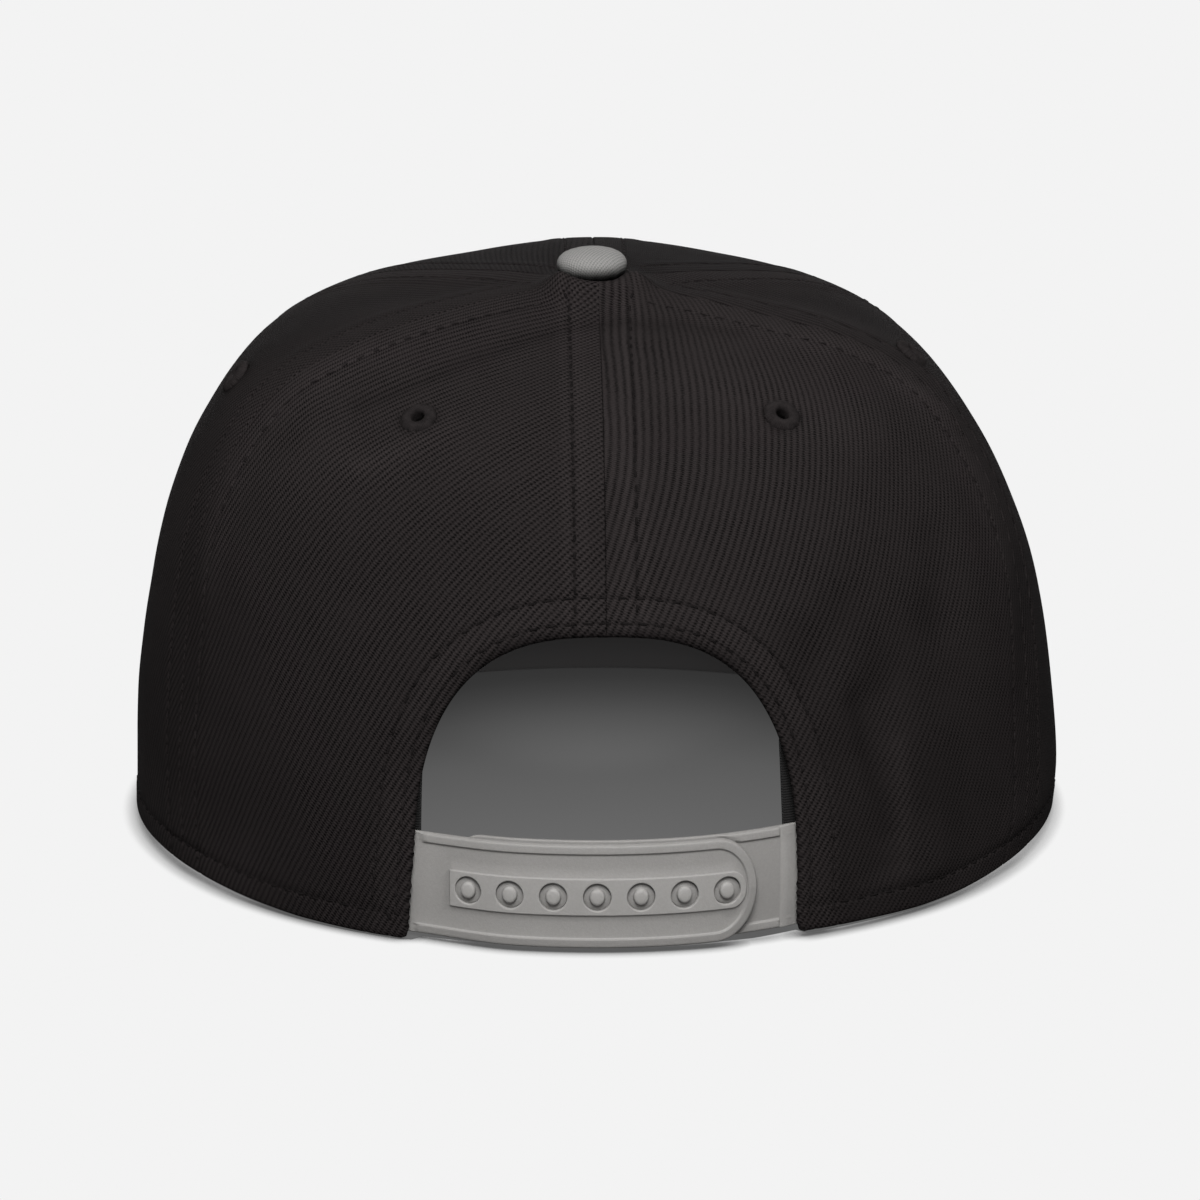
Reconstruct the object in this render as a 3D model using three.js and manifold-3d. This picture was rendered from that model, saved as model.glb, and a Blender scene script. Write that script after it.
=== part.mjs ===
// A six-panel snapback cap standing on its rim, in millimetres.
// +Y is the front, where the visor is, +X is the wearer's right and +Z is up. The origin is on the surface it stands on.
// Azimuths are in degrees round the crown from the middle of the back, growing towards the wearer's right.
// A share is how far up the crown's cloth a place is: 0 at the rim, 1 at the button.
import * as THREE from "three";
import { mergeVertices } from "three/addons/utils/BufferGeometryUtils.js";
import Module from "manifold-3d";

const wasm = await Module();
wasm.setup();

// Crown
const HALF_WIDTH = 93;
const REAR_REACH = 92;
const FRONT_REACH = 94;
const CROWN_HEIGHT = 110;
const CLOTH = 2;
const CLEARANCE = 0.3;
const SEAM_RISE = 1.1;
const TOP_OPENING = 3.5;
const WELD = 0.01;

// Opening over the strap
const ARCH_HALF_WIDTH = 37.3;
const ARCH_HEIGHT = 59.3;
const ARCH_SPRING = 12;
const ARCH_SHIFT = -0.2;
const ARCH_ROUNDNESS = 2.6;

// Sewn eyelets, one in each panel
const EYELET_RADIUS = 3.5;
const EYELET_BORE = 1.1;
const EYELET_SLEEVE = 1.8;
const EYELET_RISE = 0.8;

// Covered button
const BUTTON_RADIUS = 7;
const BUTTON_HEIGHT = 5.6;
const BUTTON_SHIFT = -1.2;

// Snap strap in two halves: the left one has the holes and lies outside, the right one has the pegs
const STRAP_WIDTH = 20.4;
const STRAP_THICKNESS = 1.2;
const STRAP_LIFT = 0.6;
const STRAP_RISE_LEFT = 0.2;
const STRAP_RISE_RIGHT = 0.7;
const STRAP_BOW = 1.9;
const STRAP_BOW_TO = 0.45;
const STRAP_TONGUE = 9;
const BORDER_WIDTH = 1.7;
const BORDER_RISE = 0.45;
const BORDER_STEP = 0.25;
const OUTER_END = 29.6;
const INNER_END = -33;
const INNER_LIFT = 0.5;
const INNER_BORDER_GAP = 2;
const END_ROUNDNESS = 0.8;
const SNAP_SHIFT = -2;
const PEG_COUNT = 7;
const PEG_PITCH = 8.45;
const PEG_RADIUS = 1.5;
const PEG_STAND = 0.6;
const HOLE_RADIUS = 2.7;
const RIB_WIDTH = 7.2;
const RIB_LENGTH = 58.5;
const RIB_RISE = 0.35;

// Sweatband
const BAND_HEIGHT = 38;
const BAND_THICKNESS = 1.2;
const BAND_LIFT = 0.8;
const BAND_PAST_LEFT = 1.3;
const BAND_PAST_RIGHT = 2.4;
const BAND_NARROWS_AT = 46;
const BAND_NARROWS_OVER = 20;

// Visor
const VISOR_LENGTH = 70;
const VISOR_THICKNESS = 3.2;
const VISOR_SPAN = 60;
const VISOR_CORNER = 2.5;
const VISOR_BULGE = 5;
const VISOR_ROUNDNESS = 2.5;
const VISOR_CAMBER = 7;
const VISOR_LIFT = 0.5;

// Facets
const PANEL_COLUMNS = 13;
const PANEL_ROWS = 15;
const ARCH_STEPS = 30;
const BAND_STEPS = 46;
const BAND_ROWS = 3;
const VISOR_STEPS = 30;
const VISOR_ROWS = 5;
const STRAP_STEP = 6;
const ROUND_STEPS = 5;
const SMALL_SIDES = 10;
const HOLE_SIDES = 16;
const PEG_SIDES = 10;
const BUTTON_SIDES = 16;

// The crown's four profiles, at even shares from the rim to the button.
// Out is a share of that side's reach from the axis, up a share of the crown's height.
const PROFILE = [
  { leftOut: 1.005, leftUp: 0, rightOut: 0.99, rightUp: 0, rearOut: 0.99, rearUp: 0, frontOut: 0.98, frontUp: 0 },
  { leftOut: 1.005, leftUp: 0.12, rightOut: 1, rightUp: 0.1, rearOut: 0.98, rearUp: 0.12, frontOut: 1, frontUp: 0.14 },
  { leftOut: 1, leftUp: 0.26, rightOut: 0.99, rightUp: 0.235, rearOut: 0.95, rearUp: 0.255, frontOut: 1, frontUp: 0.29 },
  { leftOut: 0.975, leftUp: 0.42, rightOut: 0.965, rightUp: 0.39, rearOut: 0.9, rearUp: 0.405, frontOut: 0.99, frontUp: 0.45 },
  { leftOut: 0.935, leftUp: 0.58, rightOut: 0.915, rightUp: 0.55, rearOut: 0.835, rearUp: 0.555, frontOut: 0.97, frontUp: 0.61 },
  { leftOut: 0.865, leftUp: 0.725, rightOut: 0.83, rightUp: 0.705, rearOut: 0.745, rearUp: 0.69, frontOut: 0.91, frontUp: 0.75 },
  { leftOut: 0.745, leftUp: 0.86, rightOut: 0.705, rightUp: 0.845, rearOut: 0.625, rearUp: 0.795, frontOut: 0.8, frontUp: 0.855 },
  { leftOut: 0.555, leftUp: 0.935, rightOut: 0.525, rightUp: 0.925, rearOut: 0.46, rearUp: 0.875, frontOut: 0.62, frontUp: 0.935 },
  { leftOut: 0.295, leftUp: 0.975, rightOut: 0.28, rightUp: 0.97, rearOut: 0.24, rearUp: 0.945, frontOut: 0.34, frontUp: 0.98 },
  { leftOut: 0, leftUp: 1, rightOut: 0, rightUp: 1, rearOut: 0, rearUp: 1, frontOut: 0, frontUp: 1 },
];

// Where the four slanting seams run, as azimuths at even shares from the rim to the button
const SEAMS = [
  { rearLeft: -62, rearRight: 63, frontRight: 120, frontLeft: -120 },
  { rearLeft: -63, rearRight: 66, frontRight: 121, frontLeft: -121 },
  { rearLeft: -66, rearRight: 73, frontRight: 122, frontLeft: -122 },
  { rearLeft: -65, rearRight: 73, frontRight: 121, frontLeft: -121 },
  { rearLeft: -67, rearRight: 66, frontRight: 116, frontLeft: -116 },
];

// Soft folds of the cloth. Each runs between two places, and its depth is in millimetres: a raised fold's is negative.
const FOLDS = [
  { name: "crease_left", fromAzimuth: -46, fromShare: 0.68, toAzimuth: -14, toShare: 0.89, width: 7, depth: 1.1 },
  { name: "crease_right", fromAzimuth: 10, fromShare: 0.9, toAzimuth: 60, toShare: 0.8, width: 7, depth: 0.9 },
  { name: "hollow_right", fromAzimuth: 44, fromShare: 0.36, toAzimuth: 50, toShare: 0.56, width: 13, depth: 1.4 },
  { name: "valley_right", fromAzimuth: 36, fromShare: 0.1, toAzimuth: 36, toShare: 0.32, width: 6, depth: 1.3 },
  { name: "ridge_right", fromAzimuth: 44, fromShare: 0.08, toAzimuth: 46, toShare: 0.34, width: 6, depth: -0.9 },
  { name: "pucker_right", fromAzimuth: 26, fromShare: 0.36, toAzimuth: 33, toShare: 0.44, width: 6, depth: 0.9 },
  { name: "ridge_left", fromAzimuth: -52, fromShare: 0.44, toAzimuth: -48, toShare: 0.62, width: 12, depth: -0.8 },
];

const CLOTH_COLOUR = 0x1d1b1b;
const GREY_COLOUR = 0x908e8b;

const degrees = THREE.MathUtils.radToDeg;
const radians = THREE.MathUtils.degToRad;
const mix = THREE.MathUtils.lerp;
const smooth = (value) => THREE.MathUtils.smoothstep(value, 0, 1);

// The value of one column of a table at a share, on a smooth curve through the rows
function column(table, name, share) {
  const last = table.length - 1;
  const place = Math.min(Math.max(share, 0), 1) * last;
  const row = Math.min(Math.floor(place), last - 1);
  const part = place - row;
  const here = table[row][name];
  const next = table[row + 1][name];
  const before = row > 0 ? table[row - 1][name] : 2 * here - next;
  const after = row + 2 <= last ? table[row + 2][name] : 2 * next - here;
  const slopeHere = (next - before) / 2;
  const slopeNext = (after - here) / 2;
  const square = 3 * (next - here) - 2 * slopeHere - slopeNext;
  const cube = 2 * (here - next) + slopeHere + slopeNext;
  return here + slopeHere * part + square * part ** 2 + cube * part ** 3;
}

// The crown's smooth form, before its seams and folds
function crownForm(azimuth, share) {
  const sine = Math.sin(radians(azimuth));
  const cosine = Math.cos(radians(azimuth));
  const side = sine > 0 ? "right" : "left";
  const end = cosine > 0 ? "rear" : "front";
  const reach = cosine > 0 ? REAR_REACH : FRONT_REACH;
  const sideUp = column(PROFILE, side + "Up", share);
  const endUp = column(PROFILE, end + "Up", share);
  return new THREE.Vector3(
    HALF_WIDTH * column(PROFILE, side + "Out", share) * sine,
    -reach * column(PROFILE, end + "Out", share) * cosine,
    CROWN_HEIGHT * (sideUp * sine ** 2 + endUp * cosine ** 2),
  );
}

// The direction that points out of the crown at a place: level at the rim and upwards at the button
function outward(place) {
  const reach = place.y < 0 ? REAR_REACH : FRONT_REACH;
  return new THREE.Vector3(
    place.x / HALF_WIDTH ** 2,
    place.y / reach ** 2,
    place.z / CROWN_HEIGHT ** 2,
  ).normalize();
}

// The azimuths of the six seams at a share, from the back seam all the way round to it again
function seamAzimuths(share) {
  const frontLeft = column(SEAMS, "frontLeft", share);
  const rearLeft = column(SEAMS, "rearLeft", share);
  const rearRight = column(SEAMS, "rearRight", share);
  const frontRight = column(SEAMS, "frontRight", share);
  return [0, rearRight, frontRight, 180, 360 + frontLeft, 360 + rearLeft, 360];
}

// How far the cloth stands out at a place: raised along the seams, lower in the middle of each panel
function seamRelief(azimuth, share) {
  const round = ((azimuth % 360) + 360) % 360;
  const seams = seamAzimuths(share);
  const panelIndex = seams.findIndex((seam, index) => round >= seam && round <= seams[index + 1]);
  const across = (round - seams[panelIndex]) / (seams[panelIndex + 1] - seams[panelIndex]);
  return 0.5 * SEAM_RISE * Math.sin(Math.PI * share) * Math.cos(2 * Math.PI * across);
}

// A place on the crown laid flat, in millimetres
function laidFlat(azimuth, share) {
  const clothLength = 1.35 * CROWN_HEIGHT;
  return new THREE.Vector2(
    radians(azimuth) * HALF_WIDTH * column(PROFILE, "rearOut", share),
    share * clothLength,
  );
}

function foldRelief(azimuth, share) {
  const turned = azimuth > 180 ? azimuth - 360 : azimuth;
  const place = laidFlat(turned, share);
  let relief = 0;
  for (const fold of FOLDS) {
    const from = laidFlat(fold.fromAzimuth, fold.fromShare);
    const run = laidFlat(fold.toAzimuth, fold.toShare).sub(from);
    const along = place.clone().sub(from);
    const part = THREE.MathUtils.clamp(along.dot(run) / run.lengthSq(), 0, 1);
    const distance = along.sub(run.multiplyScalar(part)).length();
    relief -= fold.depth * Math.exp(-((distance / fold.width) ** 2));
  }
  return relief;
}

const clothRelief = (azimuth, share) => seamRelief(azimuth, share) + foldRelief(azimuth, share);

// A place on the crown's cloth, this deep under its outer face
function crownPoint(azimuth, share, depth = 0) {
  const place = crownForm(azimuth, share);
  return place.addScaledVector(outward(place), clothRelief(azimuth, share) - depth);
}

// The share where a measure of the crown's form, which only grows or only shrinks, reaches a target
function shareWhere(azimuth, measure, target, low, high) {
  const rising = measure(crownForm(azimuth, high)) > measure(crownForm(azimuth, low));
  for (let step = 0; step < 30; step++) {
    const middle = (low + high) / 2;
    const beyond = measure(crownForm(azimuth, middle)) > target;
    if (beyond === rising) high = middle;
    else low = middle;
  }
  return (low + high) / 2;
}

const shareAtHeight = (azimuth, height) => shareWhere(azimuth, (place) => place.z, height, 0, 0.7);
const shareAtRadius = (azimuth, radius) => shareWhere(azimuth, (place) => Math.hypot(place.x, place.y), radius, 0.8, 1);

// A closed sheet between two grids of points, whose rows and columns match
function closedSheet(outer, inner) {
  const rows = outer.length;
  const columns = outer[0].length;
  const under = rows * columns;
  const faces = [];
  const quad = (a, b, c, d) => faces.push(a, b, c, a, c, d);
  const at = (row, place) => row * columns + place;
  for (let row = 0; row + 1 < rows; row++) {
    for (let place = 0; place + 1 < columns; place++) {
      const corners = [at(row, place), at(row, place + 1), at(row + 1, place + 1), at(row + 1, place)];
      quad(...corners);
      quad(...corners.map((corner) => corner + under).reverse());
    }
  }
  const edge = [];
  for (let place = 0; place + 1 < columns; place++) edge.push(at(0, place));
  for (let row = 0; row + 1 < rows; row++) edge.push(at(row, columns - 1));
  for (let place = columns - 1; place > 0; place--) edge.push(at(rows - 1, place));
  for (let row = rows - 1; row > 0; row--) edge.push(at(row, 0));
  edge.forEach((corner, index) => {
    const next = edge[(index + 1) % edge.length];
    quad(next, corner, corner + under, next + under);
  });
  const geometry = new THREE.BufferGeometry();
  geometry.setFromPoints([...outer.flat(), ...inner.flat()]);
  geometry.setIndex(faces);
  return geometry;
}

function toManifold(geometry) {
  const bare = geometry.clone();
  bare.deleteAttribute("normal");
  bare.deleteAttribute("uv");
  const merged = mergeVertices(bare, 1e-4);
  return new wasm.Manifold(new wasm.Mesh({
    numProp: 3,
    vertProperties: new Float32Array(merged.attributes.position.array),
    triVerts: new Uint32Array(merged.index.array),
  }));
}

// Corners closer together than the weld become one, and triangles that shrink to nothing go
function toGeometry(manifold) {
  const mesh = manifold.getMesh();
  const geometry = new THREE.BufferGeometry();
  geometry.setAttribute("position", new THREE.BufferAttribute(new Float32Array(mesh.vertProperties), 3));
  geometry.setIndex(new THREE.BufferAttribute(new Uint32Array(mesh.triVerts), 1));
  const welded = mergeVertices(geometry, WELD);
  const corners = welded.index.array;
  const kept = [];
  for (let first = 0; first < corners.length; first += 3) {
    const triangle = Array.from(corners.slice(first, first + 3));
    if (new Set(triangle).size === 3) kept.push(...triangle);
  }
  welded.setIndex(kept);
  return welded;
}

// Turns a round shape, made about the Y axis, so that it points out of the crown at a place
function pointOut(object, place, direction) {
  object.position.copy(place);
  object.quaternion.setFromUnitVectors(new THREE.Vector3(0, 1, 0), direction);
  return object;
}

// A round bar about a direction, from one distance to another along it
function bar(place, direction, radius, from, to, sides) {
  const geometry = new THREE.CylinderGeometry(radius, radius, to - from, sides);
  geometry.translate(0, (from + to) / 2, 0);
  const turn = new THREE.Quaternion().setFromUnitVectors(new THREE.Vector3(0, 1, 0), direction);
  geometry.applyQuaternion(turn);
  geometry.translate(place.x, place.y, place.z);
  return toManifold(geometry);
}

// Panels
const PANELS = [
  { name: "panel_rear_right", seam: 0, material: "cloth" },
  { name: "panel_side_right", seam: 1, material: "cloth" },
  { name: "panel_front_right", seam: 2, material: "cloth" },
  { name: "panel_front_left", seam: 3, material: "cloth" },
  { name: "panel_side_left", seam: 4, material: "cloth" },
  { name: "panel_rear_left", seam: 5, material: "cloth" },
];

// Where each panel's eyelet is sewn
const EYELETS = [
  { name: "eyelet_rear_right", azimuth: 36, share: 0.71 },
  { name: "eyelet_side_right", azimuth: 84, share: 0.69 },
  { name: "eyelet_front_right", azimuth: 150, share: 0.6 },
  { name: "eyelet_front_left", azimuth: 210, share: 0.6 },
  { name: "eyelet_side_left", azimuth: 275, share: 0.64 },
  { name: "eyelet_rear_left", azimuth: 325, share: 0.71 },
];

// The direction square to the cloth at a place
function clothNormal(azimuth, share) {
  const turn = 2;
  const climb = 0.02;
  const across = crownPoint(azimuth + turn, share).sub(crownPoint(azimuth - turn, share));
  const up = crownPoint(azimuth, share + climb).sub(crownPoint(azimuth, share - climb));
  return across.cross(up).normalize();
}

function eyeletSeat({ azimuth, share }) {
  return { place: crownPoint(azimuth, share), direction: clothNormal(azimuth, share) };
}

function panelGrid(seam, depth) {
  const middle = (seamAzimuths(1)[seam] + seamAzimuths(1)[seam + 1]) / 2;
  const topShare = shareAtRadius(middle, TOP_OPENING);
  const grid = [];
  for (let row = 0; row <= PANEL_ROWS; row++) {
    const share = (topShare * row) / PANEL_ROWS;
    const seams = seamAzimuths(share);
    const inset = [seam, seam + 1].map((index) => {
      const edge = crownForm(seams[index], share);
      return degrees(CLEARANCE / 2 / Math.hypot(edge.x, edge.y));
    });
    const from = seams[seam] + inset[0];
    const to = seams[seam + 1] - inset[1];
    const points = [];
    for (let step = 0; step <= PANEL_COLUMNS; step++) {
      points.push(crownPoint(mix(from, to, step / PANEL_COLUMNS), share, depth));
    }
    grid.push(points);
  }
  return grid;
}

// The opening's outline, from its foot on one side over the top to the other foot
function archOutline() {
  const outline = [];
  for (let step = 0; step <= ARCH_STEPS; step++) {
    const turn = (Math.PI * step) / ARCH_STEPS;
    const across = Math.sign(Math.cos(turn)) * Math.abs(Math.cos(turn)) ** (2 / ARCH_ROUNDNESS);
    const rise = Math.sin(turn) ** (2 / ARCH_ROUNDNESS);
    outline.push(new THREE.Vector2(
      ARCH_SHIFT + ARCH_HALF_WIDTH * across,
      ARCH_SPRING + (ARCH_HEIGHT - ARCH_SPRING) * rise,
    ));
  }
  return outline;
}

function archCutter() {
  const below = -CLOTH;
  const outline = archOutline();
  const shape = new THREE.Shape([
    new THREE.Vector2(outline[0].x, below),
    ...outline,
    new THREE.Vector2(outline.at(-1).x, below),
  ]);
  const geometry = new THREE.ExtrudeGeometry(shape, { depth: REAR_REACH, bevelEnabled: false });
  geometry.rotateX(Math.PI / 2);
  geometry.translate(0, -REAR_REACH / 2, 0);
  return toManifold(geometry);
}

function panelSolid(seam, eyelet) {
  let solid = toManifold(closedSheet(panelGrid(seam, 0), panelGrid(seam, CLOTH)));
  const { place, direction } = eyeletSeat(eyelet);
  const boreRadius = EYELET_SLEEVE + CLEARANCE;
  solid = solid.subtract(bar(place, direction, boreRadius, -3 * CLOTH, 3 * CLOTH, SMALL_SIDES));
  const besideArch = seam === 0 || seam === PANELS.length - 1;
  if (besideArch) solid = solid.subtract(archCutter());
  return toGeometry(solid);
}

// A sewn eyelet: a flat ring on the cloth with a sleeve of thread down through it
function eyeletSolid() {
  const seat = CLEARANCE + 0.1;
  const foot = -CLOTH - CLEARANCE;
  const profile = [
    [EYELET_BORE, foot],
    [EYELET_SLEEVE, foot],
    [EYELET_SLEEVE, seat],
    [EYELET_RADIUS, seat],
    [0.9 * EYELET_RADIUS, seat + 0.6 * EYELET_RISE],
    [0.6 * EYELET_RADIUS, seat + EYELET_RISE],
    [EYELET_BORE, seat + 0.5 * EYELET_RISE],
    [EYELET_BORE, foot],
  ].map(([radius, height]) => new THREE.Vector2(radius, height));
  return toGeometry(toManifold(new THREE.LatheGeometry(profile, SMALL_SIDES)));
}

// The cloth-covered button, with a stem down through the panels' tips
function buttonSolid() {
  const stemFoot = -2 * CLOTH;
  const stemRadius = TOP_OPENING - Math.abs(BUTTON_SHIFT) - CLEARANCE;
  const profile = [
    [0, stemFoot],
    [stemRadius, stemFoot],
    [stemRadius, 0],
    [0.62 * BUTTON_RADIUS, 0],
    [0.9 * BUTTON_RADIUS, 0.2 * BUTTON_HEIGHT],
    [BUTTON_RADIUS, 0.46 * BUTTON_HEIGHT],
    [0.92 * BUTTON_RADIUS, 0.7 * BUTTON_HEIGHT],
    [0.66 * BUTTON_RADIUS, 0.9 * BUTTON_HEIGHT],
    [0.34 * BUTTON_RADIUS, 0.98 * BUTTON_HEIGHT],
    [0, BUTTON_HEIGHT],
  ].map(([radius, height]) => new THREE.Vector2(radius, height));
  return toGeometry(toManifold(new THREE.LatheGeometry(profile, BUTTON_SIDES)));
}

// Strap. Along is the distance from the middle of the back, towards the wearer's right.
// Out is the distance from the face where the two halves' layers meet, outwards.
const archEdge = (side) => ARCH_SHIFT + side * ARCH_HALF_WIDTH;

function strapPoint(along, height, out) {
  const azimuth = degrees(along / HALF_WIDTH);
  const share = shareAtHeight(azimuth, height);
  const place = crownForm(azimuth, share);
  const tucked = CLOTH + CLEARANCE + STRAP_THICKNESS;
  const underCloth = smooth((along / archEdge(along < 0 ? -1 : 1) - STRAP_BOW_TO) / (1 - STRAP_BOW_TO));
  const endBow = along < 0 ? 0 : STRAP_THICKNESS + CLEARANCE;
  const bow = mix(STRAP_BOW, endBow, underCloth) + underCloth * clothRelief(azimuth, share);
  return place.addScaledVector(outward(place), out + bow - tucked);
}

// The height of the outer half's middle line
function strapMiddle(along) {
  const part = along / ARCH_HALF_WIDTH;
  const rise = (along < 0 ? STRAP_RISE_LEFT : STRAP_RISE_RIGHT) * part ** 2;
  return STRAP_LIFT + STRAP_WIDTH / 2 + rise;
}

// A layer of the strap between two distances along it, with a round end where one is named
function strapLayer({ from, to, lift = 0, inset = 0, grow = 0, low, high, roundTo = false, roundFrom = false }) {
  const half = STRAP_WIDTH / 2 - inset + grow;
  const round = END_ROUNDNESS * half;
  const start = roundFrom ? from + round : from;
  const stop = roundTo ? to - round : to;
  const places = [];
  const turns = Array.from({ length: ROUND_STEPS }, (unused, index) => (index + 1) / (ROUND_STEPS + 0.4));
  if (roundFrom) {
    turns.forEach((turn) => {
      const angle = (turn * Math.PI) / 2;
      places.unshift({ along: start - round * Math.sin(angle), half: half * Math.cos(angle) });
    });
  }
  places.push({ along: start, half });
  for (let step = Math.ceil(start / STRAP_STEP + 0.2); step * STRAP_STEP < stop - 0.2 * STRAP_STEP; step++) {
    places.push({ along: step * STRAP_STEP, half });
  }
  places.push({ along: stop, half });
  if (roundTo) {
    turns.forEach((turn) => {
      const angle = (turn * Math.PI) / 2;
      places.push({ along: stop + round * Math.sin(angle), half: half * Math.cos(angle) });
    });
  }
  const grid = (out) => [-1, 0, 1].map((side) => places.map((place) => (
    strapPoint(place.along, strapMiddle(place.along) + lift + side * place.half, out)
  )));
  return toManifold(closedSheet(grid(high), grid(low)));
}

// A narrow rib along the strap's middle
function strapRib(from, to, low, high) {
  const grow = RIB_WIDTH / 2 - STRAP_WIDTH / 2;
  return strapLayer({ from, to, grow, low, high, roundTo: true });
}

function pegSeat(index) {
  const along = SNAP_SHIFT + (index - (PEG_COUNT - 1) / 2) * PEG_PITCH;
  const height = strapMiddle(along);
  const place = strapPoint(along, height, 0);
  const direction = strapPoint(along, height, 1).sub(place).normalize();
  return { place, direction };
}

const pegIndexes = Array.from({ length: PEG_COUNT }, (unused, index) => index);

// A raised border along both edges of a layer, and round its end where that is round.
// It is rooted in the middle of the plate, and stands just inside the plate's edge.
function strapBorder({ from, to, lift = 0, faceOut, roundTo = false }) {
  const low = faceOut - 0.5 * STRAP_THICKNESS;
  const high = faceOut + BORDER_RISE;
  const end = roundTo ? BORDER_STEP : 0;
  const endInside = roundTo ? BORDER_STEP + BORDER_WIDTH : -STRAP_STEP;
  const raised = strapLayer({ from, to: to - end, lift, inset: BORDER_STEP, low, high, roundTo });
  const inside = strapLayer({
    from: from - STRAP_STEP,
    to: to - endInside,
    lift,
    inset: BORDER_STEP + BORDER_WIDTH,
    low: low - STRAP_THICKNESS,
    high: high + STRAP_THICKNESS,
    roundTo,
  });
  return raised.subtract(inside);
}

// The half with the holes
function outerStrap() {
  const tongueEnd = archEdge(-1) - STRAP_TONGUE;
  const borderFrom = archEdge(-1) + CLEARANCE;
  const root = 0.5 * STRAP_THICKNESS;
  const face = STRAP_THICKNESS;
  let solid = strapLayer({ from: tongueEnd, to: OUTER_END, low: 0, high: face, roundTo: true });
  solid = solid.add(strapBorder({ from: borderFrom, to: OUTER_END, faceOut: face, roundTo: true }));
  solid = solid.add(strapRib(SNAP_SHIFT - RIB_LENGTH / 2, SNAP_SHIFT + RIB_LENGTH / 2, root, face + RIB_RISE));
  for (const index of pegIndexes) {
    const { place, direction } = pegSeat(index);
    solid = solid.subtract(bar(place, direction, HOLE_RADIUS, -face, 3 * face, HOLE_SIDES));
  }
  return toGeometry(solid);
}

function peg({ place, direction }) {
  const foot = -CLEARANCE - 0.5 * STRAP_THICKNESS;
  const top = STRAP_THICKNESS + PEG_STAND;
  const profile = [
    [0, foot],
    [PEG_RADIUS, foot],
    [PEG_RADIUS, mix(foot, top, 0.8)],
    [0.8 * PEG_RADIUS, mix(foot, top, 0.93)],
    [0.4 * PEG_RADIUS, mix(foot, top, 0.99)],
    [0, top],
  ].map(([radius, height]) => new THREE.Vector2(radius, height));
  const geometry = new THREE.LatheGeometry(profile, PEG_SIDES);
  geometry.applyQuaternion(new THREE.Quaternion().setFromUnitVectors(new THREE.Vector3(0, 1, 0), direction));
  geometry.translate(place.x, place.y, place.z);
  return toManifold(geometry);
}

// The half with the pegs
function innerStrap() {
  const tongueEnd = archEdge(1) + STRAP_TONGUE;
  const face = -CLEARANCE;
  let solid = strapLayer({
    from: INNER_END,
    to: tongueEnd,
    lift: INNER_LIFT,
    low: face - STRAP_THICKNESS,
    high: face,
    roundFrom: true,
  });
  const border = strapBorder({
    from: OUTER_END - (END_ROUNDNESS * STRAP_WIDTH) / 2,
    to: archEdge(1) - INNER_BORDER_GAP,
    lift: INNER_LIFT,
    faceOut: face,
  });
  const underOuterEnd = strapLayer({
    from: OUTER_END - STRAP_WIDTH,
    to: OUTER_END + CLEARANCE,
    grow: CLEARANCE,
    low: face - 2 * STRAP_THICKNESS,
    high: face + 2 * STRAP_THICKNESS,
    roundTo: true,
  });
  solid = solid.add(border.subtract(underOuterEnd));
  for (const index of pegIndexes) solid = solid.add(peg(pegSeat(index)));
  return toGeometry(solid);
}

// Sweatband: a strip inside the rim that runs round the front, from a little past one side of the opening to the other
function sweatband() {
  const overTongue = CLOTH + STRAP_THICKNESS + 2 * CLEARANCE;
  const azimuthOf = (across) => degrees(Math.asin(across / (HALF_WIDTH - overTongue)));
  const from = azimuthOf(archEdge(1) - BAND_PAST_RIGHT);
  const to = 360 + azimuthOf(archEdge(-1) + BAND_PAST_LEFT);
  const depthAt = (azimuth) => {
    const fromRear = Math.min(azimuth, 360 - azimuth);
    return mix(overTongue, CLOTH + CLEARANCE, smooth((fromRear - BAND_NARROWS_AT) / BAND_NARROWS_OVER));
  };
  const bandPoint = (azimuth, height, depth) => {
    const share = shareAtHeight(azimuth, height);
    const place = crownForm(azimuth, share);
    return place.addScaledVector(outward(place), seamRelief(azimuth, share) - depth);
  };
  const grid = (extra) => {
    const rows = [];
    for (let row = 0; row <= BAND_ROWS; row++) {
      const height = BAND_LIFT + (BAND_HEIGHT * row) / BAND_ROWS;
      const points = [];
      for (let step = 0; step <= BAND_STEPS; step++) {
        const azimuth = mix(from, to, step / BAND_STEPS);
        points.push(bandPoint(azimuth, height, depthAt(azimuth) + extra));
      }
      rows.push(points);
    }
    return rows;
  };
  return closedSheet(grid(0), grid(BAND_THICKNESS));
}

// Visor: a stiff sheet sewn along the front of the rim. Turn runs from -1 at its left corner to 1 at its right one.
function visorSeam(turn, height) {
  const azimuth = 180 - VISOR_SPAN * turn;
  return crownPoint(azimuth, shareAtHeight(azimuth, height), -CLEARANCE);
}

function visorEdge(turn) {
  const corner = visorSeam(1, VISOR_LIFT);
  const angle = (Math.PI / 2) * turn;
  const sine = Math.abs(Math.sin(angle)) ** (2 / VISOR_ROUNDNESS);
  const cosine = Math.cos(angle) ** (2 / VISOR_ROUNDNESS);
  const across = (corner.x + VISOR_CORNER) * sine + VISOR_BULGE * Math.sin(2 * Math.abs(angle));
  return new THREE.Vector2(
    Math.sign(turn) * across,
    mix(corner.y, FRONT_REACH + VISOR_LENGTH, cosine),
  );
}

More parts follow.
